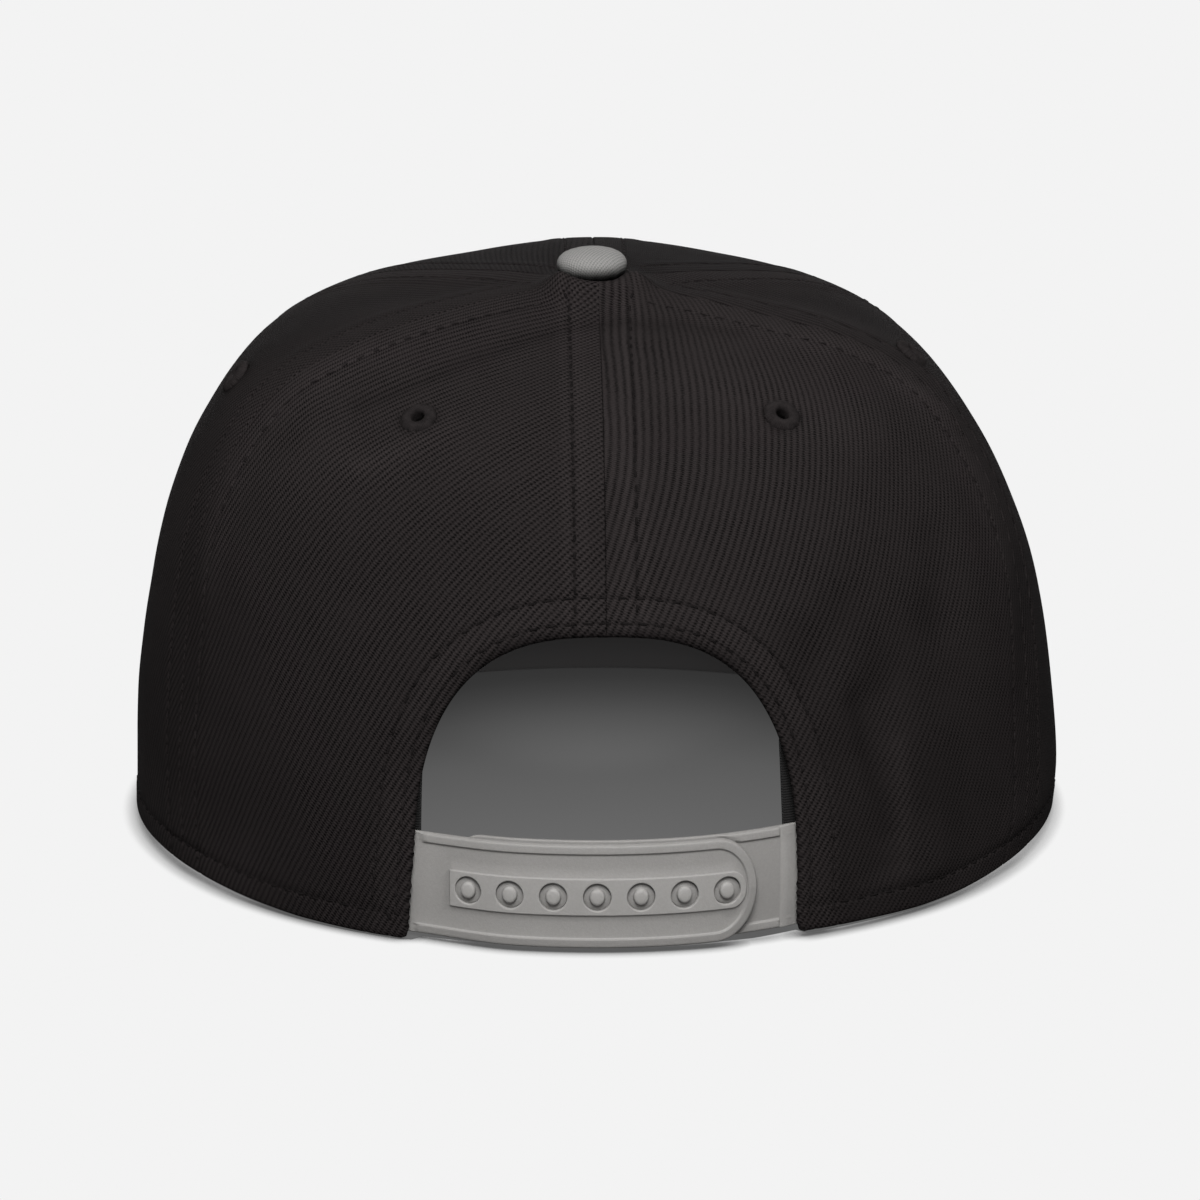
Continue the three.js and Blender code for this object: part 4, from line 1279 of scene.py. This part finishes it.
# Painted shade on the lower side of the button
BUTTON_LOW_SHADE_TINT = -0.95
BUTTON_SHADED = (3.9, -2.6)
BUTTON_STRETCH = 1.04
BUTTON_SUNK = 0.15
BUTTON_RADIUS = 7
BUTTON_UNEVENNESS = 0.08
GATHERS = ((14, 0.018, 0), (23, 0.012, 1.0))
GATHER_HEIGHTS = (3.0, -3.0)
GATHER_REACH = 4
BUTTON_PROFILE = (
    (0.25, 0.02), (3.4, 0.0), (4.6, 0.1), (5.8, 0.4), (6.55, 0.95), (6.9, 1.65), (7.0, 2.4), (6.9, 3.1),
    (6.55, 3.75), (5.9, 4.35), (4.95, 4.83), (3.8, 5.2), (2.5, 5.43), (1.25, 5.56), (0.3, 5.6),
)


def covered_button():
    """A domed button in twill, drawn in a little round its foot."""
    points, faces = lathe(BUTTON_PROFILE, BUTTON_SIDES)
    angle = np.arctan2(points[:, 1], points[:, 0])
    low = climb(points[:, 2], *GATHER_HEIGHTS) * smooth(np.hypot(points[:, 0], points[:, 1]) / GATHER_REACH)
    gather = sum(depth * np.sin(count * angle + phase) for count, depth, phase in GATHERS)
    points[:, :2] *= (1 + low * gather)[:, None]
    unevenness = BUTTON_UNEVENNESS * np.sin(2 * angle + 0.6)
    points[:, 2] += unevenness * smooth(np.hypot(points[:, 0], points[:, 1]) / BUTTON_RADIUS)
    run = run_along(np.array(BUTTON_PROFILE))
    over = np.repeat(run[-1] - run, BUTTON_SIDES)
    cloth = np.stack([over * np.cos(angle), over * np.sin(angle)], -1)
    points[:, 2] *= BUTTON_STRETCH
    seat = np.array([BUTTON_SHIFT, 0, CROWN_HEIGHT + CLEARANCE - BUTTON_SUNK])
    faces += ends(BUTTON_SIDES, len(points))
    # painted shade on the button's lower side
    add_piece("button_cover", points + seat, faces, "grey_cloth", GREY_TWILL, "button", cloth,
              tint=BUTTON_LOW_SHADE_TINT * climb(points[:, 2], *BUTTON_SHADED))


covered_button()

# Strap. In the flat, a place is how far along and how high it lies from the strap's middle line.
HALF_STRAP = STRAP_WIDTH / 2
LEFT_FOOT = ARCH_SHIFT - ARCH_HALF_WIDTH
RIGHT_FOOT = ARCH_SHIFT + ARCH_HALF_WIDTH
BORDER_END = RIGHT_FOOT - INNER_BORDER_GAP
OUTER = {"low": LEFT_FOOT - STRAP_TONGUE, "high": OUTER_END, "half": HALF_STRAP, "round_high": True}
INNER = {"low": INNER_END, "high": RIGHT_FOOT + STRAP_TONGUE, "half": HALF_STRAP, "round_low": True}
RIB = {"low": SNAP_SHIFT - RIB_LENGTH / 2, "high": SNAP_SHIFT + RIB_LENGTH / 2, "half": RIB_WIDTH / 2,
       "round_high": True}
PEGS = [SNAP_SHIFT + (index - (PEG_COUNT - 1) / 2) * PEG_PITCH for index in range(PEG_COUNT)]
PLATE_INSETS = (0, 0.04, 0.12, 0.22, 0.34, 0.48, 0.8, 1.3, 1.7, 1.8, 1.9, 2.0, 2.1, 2.2, 2.6)
RIB_INSETS = (-0.15, -0.06, 0.03, 0.12, 0.24)
HOLE_STEPS = (0, 0.04, 0.11, 0.22, 0.4)
BORDER_END_STEPS = (-0.16, -0.08, 0, 0.08, 0.15, 0.25)
END_TURNS = 44
RIB_TURNS = 28
EDGE_SOFTNESS = 0.3
HOLE_SOFTNESS = 0.2
BEAD_SOFTNESS = 0.4
RIB_SLOPE = 0.24
PAD_SLOPE = 0.3
FOOT_FADE = 0.4
BELOW_RIB_FADE = 3
BEYOND_RIB_FADE = 4
BEYOND_RIB_SHARE = 0.6
# Painted light and shade on the plastic: highlights on the rib, the upper border, the pad and the peg tops,
# and shade on the lower border
RIB_HIGHLIGHT = 0.7
BORDER_HIGHLIGHT = 0.2
LOW_BORDER_SHADE = -0.25
# Painted bounce light from the table on the outer half's plate, below and beyond the rib
PLATE_BOUNCE_LIGHT = 0.6
PAD_HIGHLIGHT = 0.3
PAD_RISE = 0.18
COLLAR_LIGHT = 0.08
PEG_WIDE = 0.95
PEG_TALL = 1.1
PEG_SIDES = 40
HOLE_FLOOR = 0.7
PEG_FOOT_STEPS = ((0.3, 0), (0.1, 0.06), (0, 0.25))
PEG_TOP_STEPS = ((0, 0.55), (0.05, 0.36), (0.17, 0.2), (0.42, 0.08), (0.8, 0.02))


def strap_middle(along):
    """The height of the strap's middle line: both ends rise a little."""
    part = along / ARCH_HALF_WIDTH
    rise = np.where(along < 0, STRAP_RISE_LEFT, STRAP_RISE_RIGHT)
    return STRAP_LIFT + HALF_STRAP + rise * part**2


def strap_point(along, height, out):
    """A place on the strap: along from its middle, at a height, and out from where its halves meet."""
    azimuth = np.degrees(along / HALF_WIDTH)
    share = share_at_height(azimuth, height)
    place = crown_form(azimuth, share)
    tucked = CLOTH + CLEARANCE + STRAP_THICKNESS
    foot = np.where(along < 0, LEFT_FOOT, RIGHT_FOOT)
    under_cloth = smooth((along / foot - STRAP_BOW_TO) / (1 - STRAP_BOW_TO))
    end_bow = np.where(along < 0, 0, STRAP_THICKNESS + CLEARANCE)
    bow = mix(STRAP_BOW, end_bow, under_cloth) + under_cloth * cloth_relief(azimuth, share)
    return place + outward(place) * (out + bow - tucked)[..., None]


def inset_of(along, rise, low, high, half, round_low=False, round_high=False, steps=26):
    """How far inside a plate's outline a place lies, with elliptical ends where they are round."""
    smallest = np.full_like(along, -1.0)
    largest = np.full_like(along, half)
    for _ in range(steps):
        inset = (smallest + largest) / 2
        width = np.maximum(half - inset, 1e-6)
        depth = END_ROUNDNESS * width
        inside = np.abs(rise) < width
        for end, sign, is_round in ((high, 1, round_high), (low, -1, round_low)):
            beyond = sign * along - (sign * end - inset - (depth if is_round else 0))
            if is_round:
                part = np.maximum(beyond, 0) / depth
                inside &= part**2 + (rise / width) ** 2 < 1
            else:
                inside &= beyond < 0
        smallest = np.where(inside, inset, smallest)
        largest = np.where(inside, largest, inset)
    return (smallest + largest) / 2


def outline_loop(inset, low, high, half, round_low=False, round_high=False, turns=END_TURNS):
    """A closed line at an inset from a plate's outline."""
    width = half - inset
    depth = END_ROUNDNESS * width
    start = low + inset + (depth if round_low else 0)
    stop = high - inset - (depth if round_high else 0)
    count = max(3, int(stop - start))
    top = [(along, width) for along in np.linspace(start, stop, count)]
    bottom = [(along, -width) for along in np.linspace(stop, start, count)]
    angle = np.linspace(math.pi / 2, -math.pi / 2, turns)[1:-1]
    far = [(stop + depth * math.cos(turn), width * math.sin(turn)) for turn in angle]
    near = [(start - depth * math.cos(turn), -width * math.sin(turn)) for turn in angle]
    rises = np.linspace(width, -width, turns)[1:-1]
    far = far if round_high else [(stop, rise) for rise in rises]
    near = near if round_low else [(start, -rise) for rise in rises]
    return np.array(top + far + bottom + near)


def circle(centre, radius, sides):
    turn = np.linspace(0, 2 * math.pi, sides, endpoint=False)
    return np.stack([centre[0] + radius * np.cos(turn), centre[1] + radius * np.sin(turn)], -1)


def triangulate(loops, rows, loose):
    """Triangles over closed lines, open rows and loose points, with every line and row kept as edges."""
    spots, edges = [], []
    for line, is_closed in [(loop, True) for loop in loops] + [(row, False) for row in rows]:
        start, count = len(spots), len(line)
        spots += [Vector(point) for point in line]
        steps = range(count if is_closed else count - 1)
        edges += [(start + place, start + (place + 1) % count) for place in steps]
    spots += [Vector(point) for point in loose]
    result = geometry.delaunay_2d_cdt(spots, edges, [], 0, 1e-4)
    return np.array([tuple(spot) for spot in result[0]]), [tuple(face) for face in result[2]]


def slab(name, node, flat, triangles, inside, layers, lift, pegs=()):
    """A curved plate from triangles in the flat. Layers gives its face, back and paleness at each place,
    which is painted light and shade.
    """
    good = inside(*flat[np.array(triangles)].mean(1).T)
    kept = [face for face, is_good in zip(triangles, good) if is_good]
    used = sorted({corner for face in kept for corner in face})
    renumber = {old: new for new, old in enumerate(used)}
    kept = [tuple(renumber[corner] for corner in face) for face in kept]
    along, rise = flat[used].T
    height = strap_middle(along) + lift + rise
    front, back, paleness = layers(along, rise)
    face_points = strap_point(along, height, front)
    back_points = strap_point(along, height, back)
    a, b, c = (face_points[np.array(kept)[:, corner]] for corner in range(3))
    facing = (np.cross(b - a, c - a) * outward(a)).sum(-1)
    kept = [face if out > 0 else face[::-1] for face, out in zip(kept, facing)]
    plate = (np.concatenate([face_points, back_points]), closed(kept, len(used)))
    raised = np.concatenate([paleness, np.zeros(len(used))] + [pale for _, _, pale in pegs])
    points, faces = join([plate] + [(peg_points, peg_faces) for peg_points, peg_faces, _ in pegs])
    add_piece(name, points, faces, "plastic", GREY_PLASTIC, node, raised=raised)


def bead_part(inset, softness=BEAD_SOFTNESS):
    """1 on a flat-topped border at an inset from a plate's edge, and 0 beside it."""
    climbing = smooth((inset - BORDER_STEP + 0.5 * softness) / softness)
    falling = smooth((BORDER_STEP + BORDER_WIDTH + 0.5 * softness - inset) / softness)
    return climbing * falling


def fill_points(low, high, step=2.2):
    """Loose points in a plate's middle, so that it bends smoothly."""
    rises = np.arange(-HALF_STRAP + 3, HALF_STRAP - 2.4, step)
    along, rise = np.meshgrid(np.arange(low + step, high - step, step), rises)
    return np.stack([along.ravel(), rise.ravel()], -1)


def from_pegs(along, rise):
    return np.min([np.hypot(along - peg, rise) for peg in PEGS], axis=0)


def holed_layers(along, rise):
    """The outer half: a border, a raised rib, and holes with soft edges."""
    inset = inset_of(along, rise, **OUTER).clip(0)
    hole = (from_pegs(along, rise) - HOLE_RADIUS).clip(0)
    on_rib = smooth((inset_of(along, rise, **RIB) + RIB_SLOPE / 2) / RIB_SLOPE)
    flare = FOOT_FLARE * smooth(1 - (rise + HALF_STRAP) / STRAP_WIDTH)
    shown = smooth((along - LEFT_FOOT + flare) / FOOT_FADE)
    drop = np.maximum(edge_drop(inset, EDGE_SOFTNESS), edge_drop(hole, HOLE_SOFTNESS))
    raised = shown * BORDER_RISE * bead_part(inset) + RIB_RISE * on_rib
    border = shown * bead_part(inset, EDGE_SOFTNESS)
    # painted highlight on the upper border and the rib, and painted shade on the lower border
    border_paleness = np.where(rise > 0, BORDER_HIGHLIGHT, LOW_BORDER_SHADE)
    # painted bounce light on the plate below and beyond the rib
    below_rib = smooth((-rise - RIB["half"]) / BELOW_RIB_FADE)
    beyond_rib = BEYOND_RIB_SHARE * smooth((RIB["low"] - along) / BEYOND_RIB_FADE)
    plate = np.maximum(below_rib, beyond_rib) * (1 - border) * (1 - on_rib)
    paleness = border_paleness * border + RIB_HIGHLIGHT * on_rib + PLATE_BOUNCE_LIGHT * plate
    return STRAP_THICKNESS + raised - drop, drop, paleness


def strap_with_holes():
    loops = [outline_loop(inset, **OUTER) for inset in PLATE_INSETS]
    loops += [outline_loop(inset, **RIB, turns=RIB_TURNS) for inset in RIB_INSETS]
    loops += [circle((peg, 0), HOLE_RADIUS + step, END_TURNS) for peg in PEGS for step in HOLE_STEPS]
    loose = fill_points(OUTER["low"], OUTER_END - 4)
    beside_rib = np.abs(np.abs(loose[:, 1]) - RIB["half"]) > 0.6
    loose = loose[(from_pegs(*loose.T) > HOLE_RADIUS + 0.9) & beside_rib]

    def inside(along, rise):
        return (from_pegs(along, rise) > HOLE_RADIUS - 0.01) & (inset_of(along, rise, **OUTER) > 0)

    slab("snap_strap_holes", "strap_outer", *triangulate(loops, (), loose), inside, holed_layers, 0)


def pegged_layers(along, rise):
    """The inner half: a border that starts beside the outer half, and a low pad at the opening's foot."""
    inset = inset_of(along, rise, **INNER).clip(0)
    bare = smooth((along - OUTER_END + END_ROUNDNESS * HALF_STRAP) / 1.0)
    shown = bare * smooth((BORDER_END + PAD_SLOPE / 2 - along) / PAD_SLOPE)
    clear = smooth(-inset_of(along, rise + INNER_LIFT, **OUTER) / 0.5)
    beaded = shown * clear * bead_part(inset)
    pad = smooth((along - BORDER_END) / PAD_SLOPE) * smooth((RIGHT_FOOT + FOOT_FADE - along) / FOOT_FADE)
    drop = edge_drop(inset, EDGE_SOFTNESS)
    front = -CLEARANCE + BORDER_RISE * beaded + PAD_RISE * pad - drop
    back = -CLEARANCE - STRAP_THICKNESS + drop
    # painted highlights on the border and the pad
    return front, back, np.maximum(BORDER_HIGHLIGHT * beaded, PAD_HIGHLIGHT * pad)


def peg_dome(along):
    """A domed peg, a little taller than wide, on the flat collar that shows round it in its hole."""
    foot = -CLEARANCE - 0.5 * STRAP_THICKNESS
    top = STRAP_THICKNESS + PEG_STAND
    collar = HOLE_RADIUS - 0.04
    profile = [(0.02, foot), (collar, foot), (collar, HOLE_FLOOR - 0.05), (collar - 0.06, HOLE_FLOOR)]
    profile += [(PEG_RADIUS + out, HOLE_FLOOR + up) for out, up in PEG_FOOT_STEPS]
    profile += [(PEG_RADIUS - inside, top - down) for inside, down in PEG_TOP_STEPS]
    profile += [(0.02, top)]
    points, faces = lathe(profile, PEG_SIDES)
    near = smooth((collar - np.hypot(points[:, 0], points[:, 1])) / (collar - PEG_RADIUS))
    points[:, 0] *= mix(1, PEG_WIDE, near)
    points[:, 1] *= mix(1, PEG_TALL, near)
    # painted highlight on the peg's top, and a little painted light on its collar
    pale = np.where(points[:, 2] > top - 0.6, 1.0, COLLAR_LIGHT)
    height = strap_middle(np.array(along))
    place, further = (strap_point(np.array(along), height, np.array(out)) for out in (0.0, 1.0))
    out = unit(further - place)
    sideways = unit(np.cross((0, 0, 1.0), out))
    axes = np.array([sideways, np.cross(out, sideways), out])
    return points @ axes + place, faces + ends(PEG_SIDES, len(points)), pale


def strap_with_pegs():
    loops = [outline_loop(inset, **INNER) for inset in PLATE_INSETS]
    across = np.linspace(-HALF_STRAP + 0.02, HALF_STRAP - 0.02, 60)
    rows = [np.stack([np.full(60, BORDER_END + step), across], -1) for step in BORDER_END_STEPS]
    loose = fill_points(INNER_END + 4, INNER["high"])

    def inside(along, rise):
        return inset_of(along, rise, **INNER) > 0

    slab("snap_strap_pegs", "strap_inner", *triangulate(loops, rows, loose), inside, pegged_layers,
         INNER_LIFT, [peg_dome(peg) for peg in PEGS])


strap_with_holes()
strap_with_pegs()

# Sweatband
BAND_HEIGHT = 38.0
BAND_THICKNESS = 1.2
BAND_LIFT = 0.8
BAND_PAST_LEFT = 1.3
BAND_PAST_RIGHT = 2.4
BAND_NARROWS_AT = 46.0
BAND_NARROWS_OVER = 20.0
BAND_COLUMNS = 420
BAND_MIDDLE_ROWS = 22
BAND_ROUNDING = (0, 0.06, 0.2, 0.4)
BAND_EDGE = 1.2
BAND_PUFF = 0.25
BAND_FRONT_DROOP = 0.5
BAND_REAR_DROOP = -1.7
BAND_DROOPS = (30, 40)
BAND_RIBBED = (70, -25)
# Painted light on the band's plain front, brighter towards its foot
BAND_FRONT_LIGHT_TINT = 0.75
BAND_FOOT_LIGHT_TINT = 1.1
BAND_FOOT = 8.0


def ribbed_sweatband():
    """A band inside the rim and inside the strap's ends, from one of the opening's feet to the other."""
    over_tongue = CLOTH + STRAP_THICKNESS + 2 * CLEARANCE
    start = math.degrees(math.asin((RIGHT_FOOT - BAND_PAST_RIGHT) / (HALF_WIDTH - over_tongue)))
    stop = 360 + math.degrees(math.asin((LEFT_FOOT + BAND_PAST_LEFT) / (HALF_WIDTH - over_tongue)))
    azimuth = np.linspace(start, stop, BAND_COLUMNS)
    middle = np.linspace(BAND_EDGE, BAND_HEIGHT - BAND_EDGE, BAND_MIDDLE_ROWS)
    height = np.array([*BAND_ROUNDING, *middle, *(BAND_HEIGHT - np.array(BAND_ROUNDING[::-1]))])
    from_rear = np.minimum(azimuth, 360 - azimuth)
    depth = mix(over_tongue, CLOTH + CLEARANCE, climb(from_rear, BAND_NARROWS_AT, BAND_NARROWS_OVER))
    azimuths, heights = np.meshgrid(azimuth, height)
    droop = mix(BAND_REAR_DROOP, BAND_FRONT_DROOP, climb(from_rear, *BAND_DROOPS))
    lowered = (droop - hem_lift(azimuth)) * smooth((BAND_HEIGHT / 2 - heights) / (BAND_HEIGHT / 2))
    share = share_at_height(azimuths, heights - lowered + BAND_LIFT)
    form = crown_form(azimuths, share)
    drop = edge_drop(np.minimum(heights, BAND_HEIGHT - heights), 0.5 * BAND_THICKNESS)
    puff = BAND_PUFF * np.sin(math.pi * heights / BAND_HEIGHT)
    out = seam_relief(azimuths, share) - depth
    front = form + outward(form) * (out - drop)[..., None]
    back = form + outward(form) * (out - BAND_THICKNESS + drop - puff)[..., None]
    rows, columns = heights.shape
    size = heights.size
    faces = grid_faces(rows, columns) + grid_faces(rows, columns, size, flip=True)
    faces += walls(range(0, size, columns), size) + walls(range(columns - 1, size, columns), size, flip=True)
    faces += walls(range(columns), size, flip=True) + walls(range(size - columns, size), size)
    run = run_along(form[rows // 2])
    flat = np.stack([np.broadcast_to(run, azimuths.shape), heights], -1)
    ribbed = both_sides(np.broadcast_to(climb(from_rear, *BAND_RIBBED), heights.shape))
    foot = both_sides(smooth(1 - heights / BAND_FOOT))
    points = np.concatenate([front.reshape(-1, 3), back.reshape(-1, 3)])
    # painted light on the band's plain front, brighter towards its foot
    add_piece("ribbed_sweatband", points, faces, "band", BLACK_TAPE, "sweatband", both_sides(flat),
              ribbed=ribbed, tint=(BAND_FRONT_LIGHT_TINT + BAND_FOOT_LIGHT_TINT * foot) * (1 - ribbed))


ribbed_sweatband()

# Visor
VISOR_LENGTH = 70.0
VISOR_THICKNESS = 3.2
VISOR_SPAN = 60.0
VISOR_CORNER = 2.5
VISOR_BULGE = 5.0
VISOR_ROUNDNESS = 2.5
VISOR_CAMBER = 7.0
VISOR_LIFT = 0.5
VISOR_ROWS = (3.5, 10.0, 16.5, 23.0, 29.5, 36.0)
VISOR_COLUMNS = 221
VISOR_EDGE_ROWS = (0, 0.003, 0.01, 0.02, 0.035)
VISOR_ROW_STEPS = (-0.012, -0.006, 0, 0.006, 0.012)
VISOR_EVEN_ROWS = 60
VISOR_EDGE_SAMPLES = 2500
VISOR_SEAM_SAMPLES = 800
VISOR_STITCHES = {"pitch": 2.6, "length": 2.0, "radius": 0.32, "lift": 0.24}
VISOR_ROWS_FROM_CROWN = 1.5


def visor_seam(turn, height):
    azimuth = 180 - VISOR_SPAN * turn
    return crown_point(azimuth, share_at_height(azimuth, height), -CLEARANCE)


def visor_edge(turn):
    corner = visor_seam(np.array(1.0), VISOR_LIFT)
    angle = math.pi / 2 * turn
    sine = np.abs(np.sin(angle)) ** (2 / VISOR_ROUNDNESS)
    cosine = np.cos(angle).clip(0) ** (2 / VISOR_ROUNDNESS)
    across = (corner[0] + VISOR_CORNER) * sine + VISOR_BULGE * np.sin(2 * np.abs(angle))
    return np.stack([np.sign(turn) * across, mix(corner[1], FRONT_REACH + VISOR_LENGTH, cosine)], -1)


def visor_plan():
    """The visor's points in the flat, its outer edge, and how far forward each row of points is."""
    turn = np.linspace(-1, 1, VISOR_COLUMNS)
    rows = [row / VISOR_LENGTH + np.array(VISOR_ROW_STEPS) for row in VISOR_ROWS]
    lengths = np.concatenate([VISOR_EDGE_ROWS, np.linspace(0, 1, VISOR_EVEN_ROWS), *rows])
    forward = (1 - np.unique(lengths.clip(0, 1))[::-1])[:, None]
    edge = visor_edge(turn)
    seam = visor_seam(turn, VISOR_LIFT)
    flat = np.stack([mix(seam[None, :, axis], edge[None, :, axis], forward) for axis in range(2)], -1)
    return flat, edge, forward


def sew_visor(tree, rim):
    """Rows of stitches that follow the visor's edge, as far as the crown."""
    inward = np.cross(np.array([0, 0, 1.0]), unit(np.gradient(rim, axis=0)))
    inward *= np.sign((-rim * inward).sum(-1).mean())
    crown_line = visor_seam(np.linspace(-1, 1, VISOR_SEAM_SAMPLES), VISOR_LIFT)[:, :2]
    crown_line = crown_line[np.argsort(crown_line[:, 0])]
    stitches = []
    for row in VISOR_ROWS:
        line = rim + inward * row
        crown_at = np.interp(line[:, 0], crown_line[:, 0], crown_line[:, 1])
        line = line[line[:, 1] > crown_at + VISOR_ROWS_FROM_CROWN]
        line[:, 2] = VISOR_LIFT + VISOR_THICKNESS + 0.5 * VISOR_CAMBER
        stitches += stitch_row(line, tree, **VISOR_STITCHES)
    add_piece("visor_stitches", *join(stitches), "grey_cloth", GREY_THREAD)


def visor_cloth():
    """The visor: two layers of twill over a stiff sheet, with rows of stitches that follow its edge."""
    flat, edge, forward = visor_plan()
    half_width = visor_edge(np.array([1.0]))[0, 0]
    low = VISOR_LIFT + VISOR_CAMBER * forward * np.maximum(0, 1 - (flat[..., 0] / half_width) ** 2)
    rim = evenly(np.pad(edge, ((0, 0), (0, 1))), VISOR_EDGE_SAMPLES)
    from_edge = distance_to(np.pad(flat, ((0, 0), (0, 0), (0, 1))), rim)
    from_edge[-1] = 0
    drop = edge_drop(from_edge, 0.5 * VISOR_THICKNESS)
    dents = sum(groove(from_edge, row) for row in VISOR_ROWS)
    top = np.concatenate([flat, (low + VISOR_THICKNESS - drop - dents)[..., None]], -1).reshape(-1, 3)
    under = np.concatenate([flat, (low + drop + 0.5 * dents)[..., None]], -1).reshape(-1, 3)
    rows, columns = low.shape
    size = low.size
    upper_faces = grid_faces(rows, columns, flip=True)
    faces = upper_faces + grid_faces(rows, columns, size)
    faces += walls(range(0, size, columns), size, flip=True) + walls(range(columns - 1, size, columns), size)
    faces += walls(range(columns), size)
    add_piece("visor_cloth", np.concatenate([top, under]), faces, "grey_cloth", GREY_TWILL, "visor",
              both_sides(flat))
    sew_visor(surface_tree([(top, upper_faces)]), rim[::5])


visor_cloth()

# Stage
SKY_TONES = ((0.0, 0.21), (0.5, 0.28), (0.75, 0.5), (1.0, 0.6))
SOFTBOX_SIZE = 0.8
SOFTBOXES = (("softbox", 47, (0, -1100, 1320)), ("front_light", 4, (0, 1300, 60)))
FILL_POWER = 0.8
FILL_ANGLE = 46
FILL_RADIUS = 4
FILL_PLACE = (0, -40, 56)
FILL_AIM = (0, 90, 2)
FLOOR_REACH = 6000.0
FLOOR_HEIGHT = -0.12
FLOOR_TONE = 0.896
CONTACT_SHADOW = 3.8
CONTACT_TONE = 0.1
INSIDE_HEIGHT = -0.04
INSIDE_INSET = CLOTH / 3
INSIDE_PER_LIFT = 1.6
INSIDE_BEHIND_STRAP = 3.6
INSIDE_MIDDLE = 4.0
INSIDE_BEND = 0.008
# Painted shade on the glowing table top inside the cap, by distance from the back
INSIDE_SHADE_TONES = ((-92, 0.09), (-60, 0.128), (-12, 0.132), (30, 0.104), (57, 0.068), (80, 0.027), (93, 0.026))


def floor_material():
    """Bright glowing table top without a cast shadow, but for a painted contact shadow: the dark line where
    something almost touches it.
    """
    material, look = new_material("studio_floor")
    near = look.make("AmbientOcclusion", {"Distance": CONTACT_SHADOW * MM}, samples=16)
    look.glow(look.ramp(near.outputs["AO"], ((0.42, CONTACT_TONE), (0.96, FLOOR_TONE))), 0)
    return material


def inside_floor_material():
    """The table top inside the cap, glowing with painted shade: bright behind the strap and ever darker
    towards the front.
    """
    material, look = new_material("shaded_floor")
    place = look.place()
    first, last = INSIDE_SHADE_TONES[0][0], INSIDE_SHADE_TONES[-1][0]
    scale = 1 / ((last - first) * MM)
    aside = look.math("SUBTRACT", look.along(place, (1, 0, 0)), INSIDE_MIDDLE * MM)
    squared = look.math("MULTIPLY", aside, aside)
    ahead = look.math("MULTIPLY_ADD", squared, INSIDE_BEND / MM, look.along(place, (0, 1, 0)))
    part = look.math("MULTIPLY_ADD", ahead, scale, -(first * MM + AXIS[1]) * scale)
    stops = [((distance - first) / (last - first), tone) for distance, tone in INSIDE_SHADE_TONES]
    look.glow(look.ramp(part, stops, "B_SPLINE"), 0.02)
    return material


def stage_mesh(name, points, material):
    """One flat face that neither lights the cap nor shows in its gloss."""
    floor = new_object(name, points, [range(len(points))], material)
    floor.visible_diffuse = False
    floor.visible_glossy = False


def floors():
    signs = ((-1, -1), (1, -1), (1, 1), (-1, 1))
    corners = [(x * FLOOR_REACH, y * FLOOR_REACH, FLOOR_HEIGHT) for x, y in signs]
    stage_mesh("floor", corners, floor_material())
    turns = np.linspace(0, 360, 240, endpoint=False)
    ring = crown_point(turns, np.zeros_like(turns), INSIDE_INSET + INSIDE_PER_LIFT * hem_lift(turns))
    in_opening = (np.abs(ring[:, 0]) < ARCH_HALF_WIDTH) & (ring[:, 1] < 0)
    ring[in_opening, 1] += INSIDE_BEHIND_STRAP - INSIDE_INSET
    ring[:, 2] = INSIDE_HEIGHT
    stage_mesh("floor_inside", ring, inside_floor_material())


def sky():
    """Soft surroundings that are dark below and bright overhead."""
    world = bpy.data.worlds.new("studio")
    look = Nodes(world)
    rise = look.math("MULTIPLY_ADD", look.along(look.place("Generated"), (0, 0, 1)), 0.5, 0.5)
    look.fill(look.nodes["Background"], {"Color": look.ramp(rise, SKY_TONES)})
    bpy.context.scene.world = world


def aim(name, light, place, target):
    lamp = bpy.data.objects.new(name, light)
    lamp.location = to_frame(place)
    direction = Vector(to_frame(target)) - Vector(lamp.location)
    lamp.rotation_euler = direction.to_track_quat("-Z", "Y").to_euler()
    lamp.visible_camera = False
    bpy.context.scene.collection.objects.link(lamp)


def lights():
    for name, power, place in SOFTBOXES:
        light = bpy.data.lights.new(name, "AREA")
        light.shape = "SQUARE"
        light.size = SOFTBOX_SIZE
        light.energy = power
        aim(name, light, place, CAMERA_AIM)
    fill = bpy.data.lights.new("inside_fill", "SPOT")
    fill.energy = FILL_POWER
    fill.spot_size = math.radians(FILL_ANGLE)
    fill.spot_blend = 1.0
    fill.shadow_soft_size = FILL_RADIUS * MM
    aim("inside_fill", fill, FILL_PLACE, FILL_AIM)


def camera():
    elevation, yaw = math.radians(CAMERA_ELEVATION), math.radians(CAMERA_YAW)
    level = math.cos(elevation)
    back = np.array([-math.sin(yaw) * level, -math.cos(yaw) * level, math.sin(elevation)])
    data = bpy.data.cameras.new("camera")
    data.sensor_width = SENSOR_MM
    data.lens = SENSOR_MM * PIXELS_PER_MM * CAMERA_DISTANCE / FRAME_PIXELS
    data.clip_start = 0.01
    data.clip_end = 50
    view = bpy.data.objects.new("camera", data)
    view.location = to_frame(np.array(CAMERA_AIM) + back * CAMERA_DISTANCE)
    view.rotation_euler = Vector(-back).to_track_quat("-Z", "Y").to_euler()
    bpy.context.scene.collection.objects.link(view)
    bpy.context.scene.camera = view


floors()
sky()
lights()
camera()
bpy.context.scene.view_settings.view_transform = "Standard"
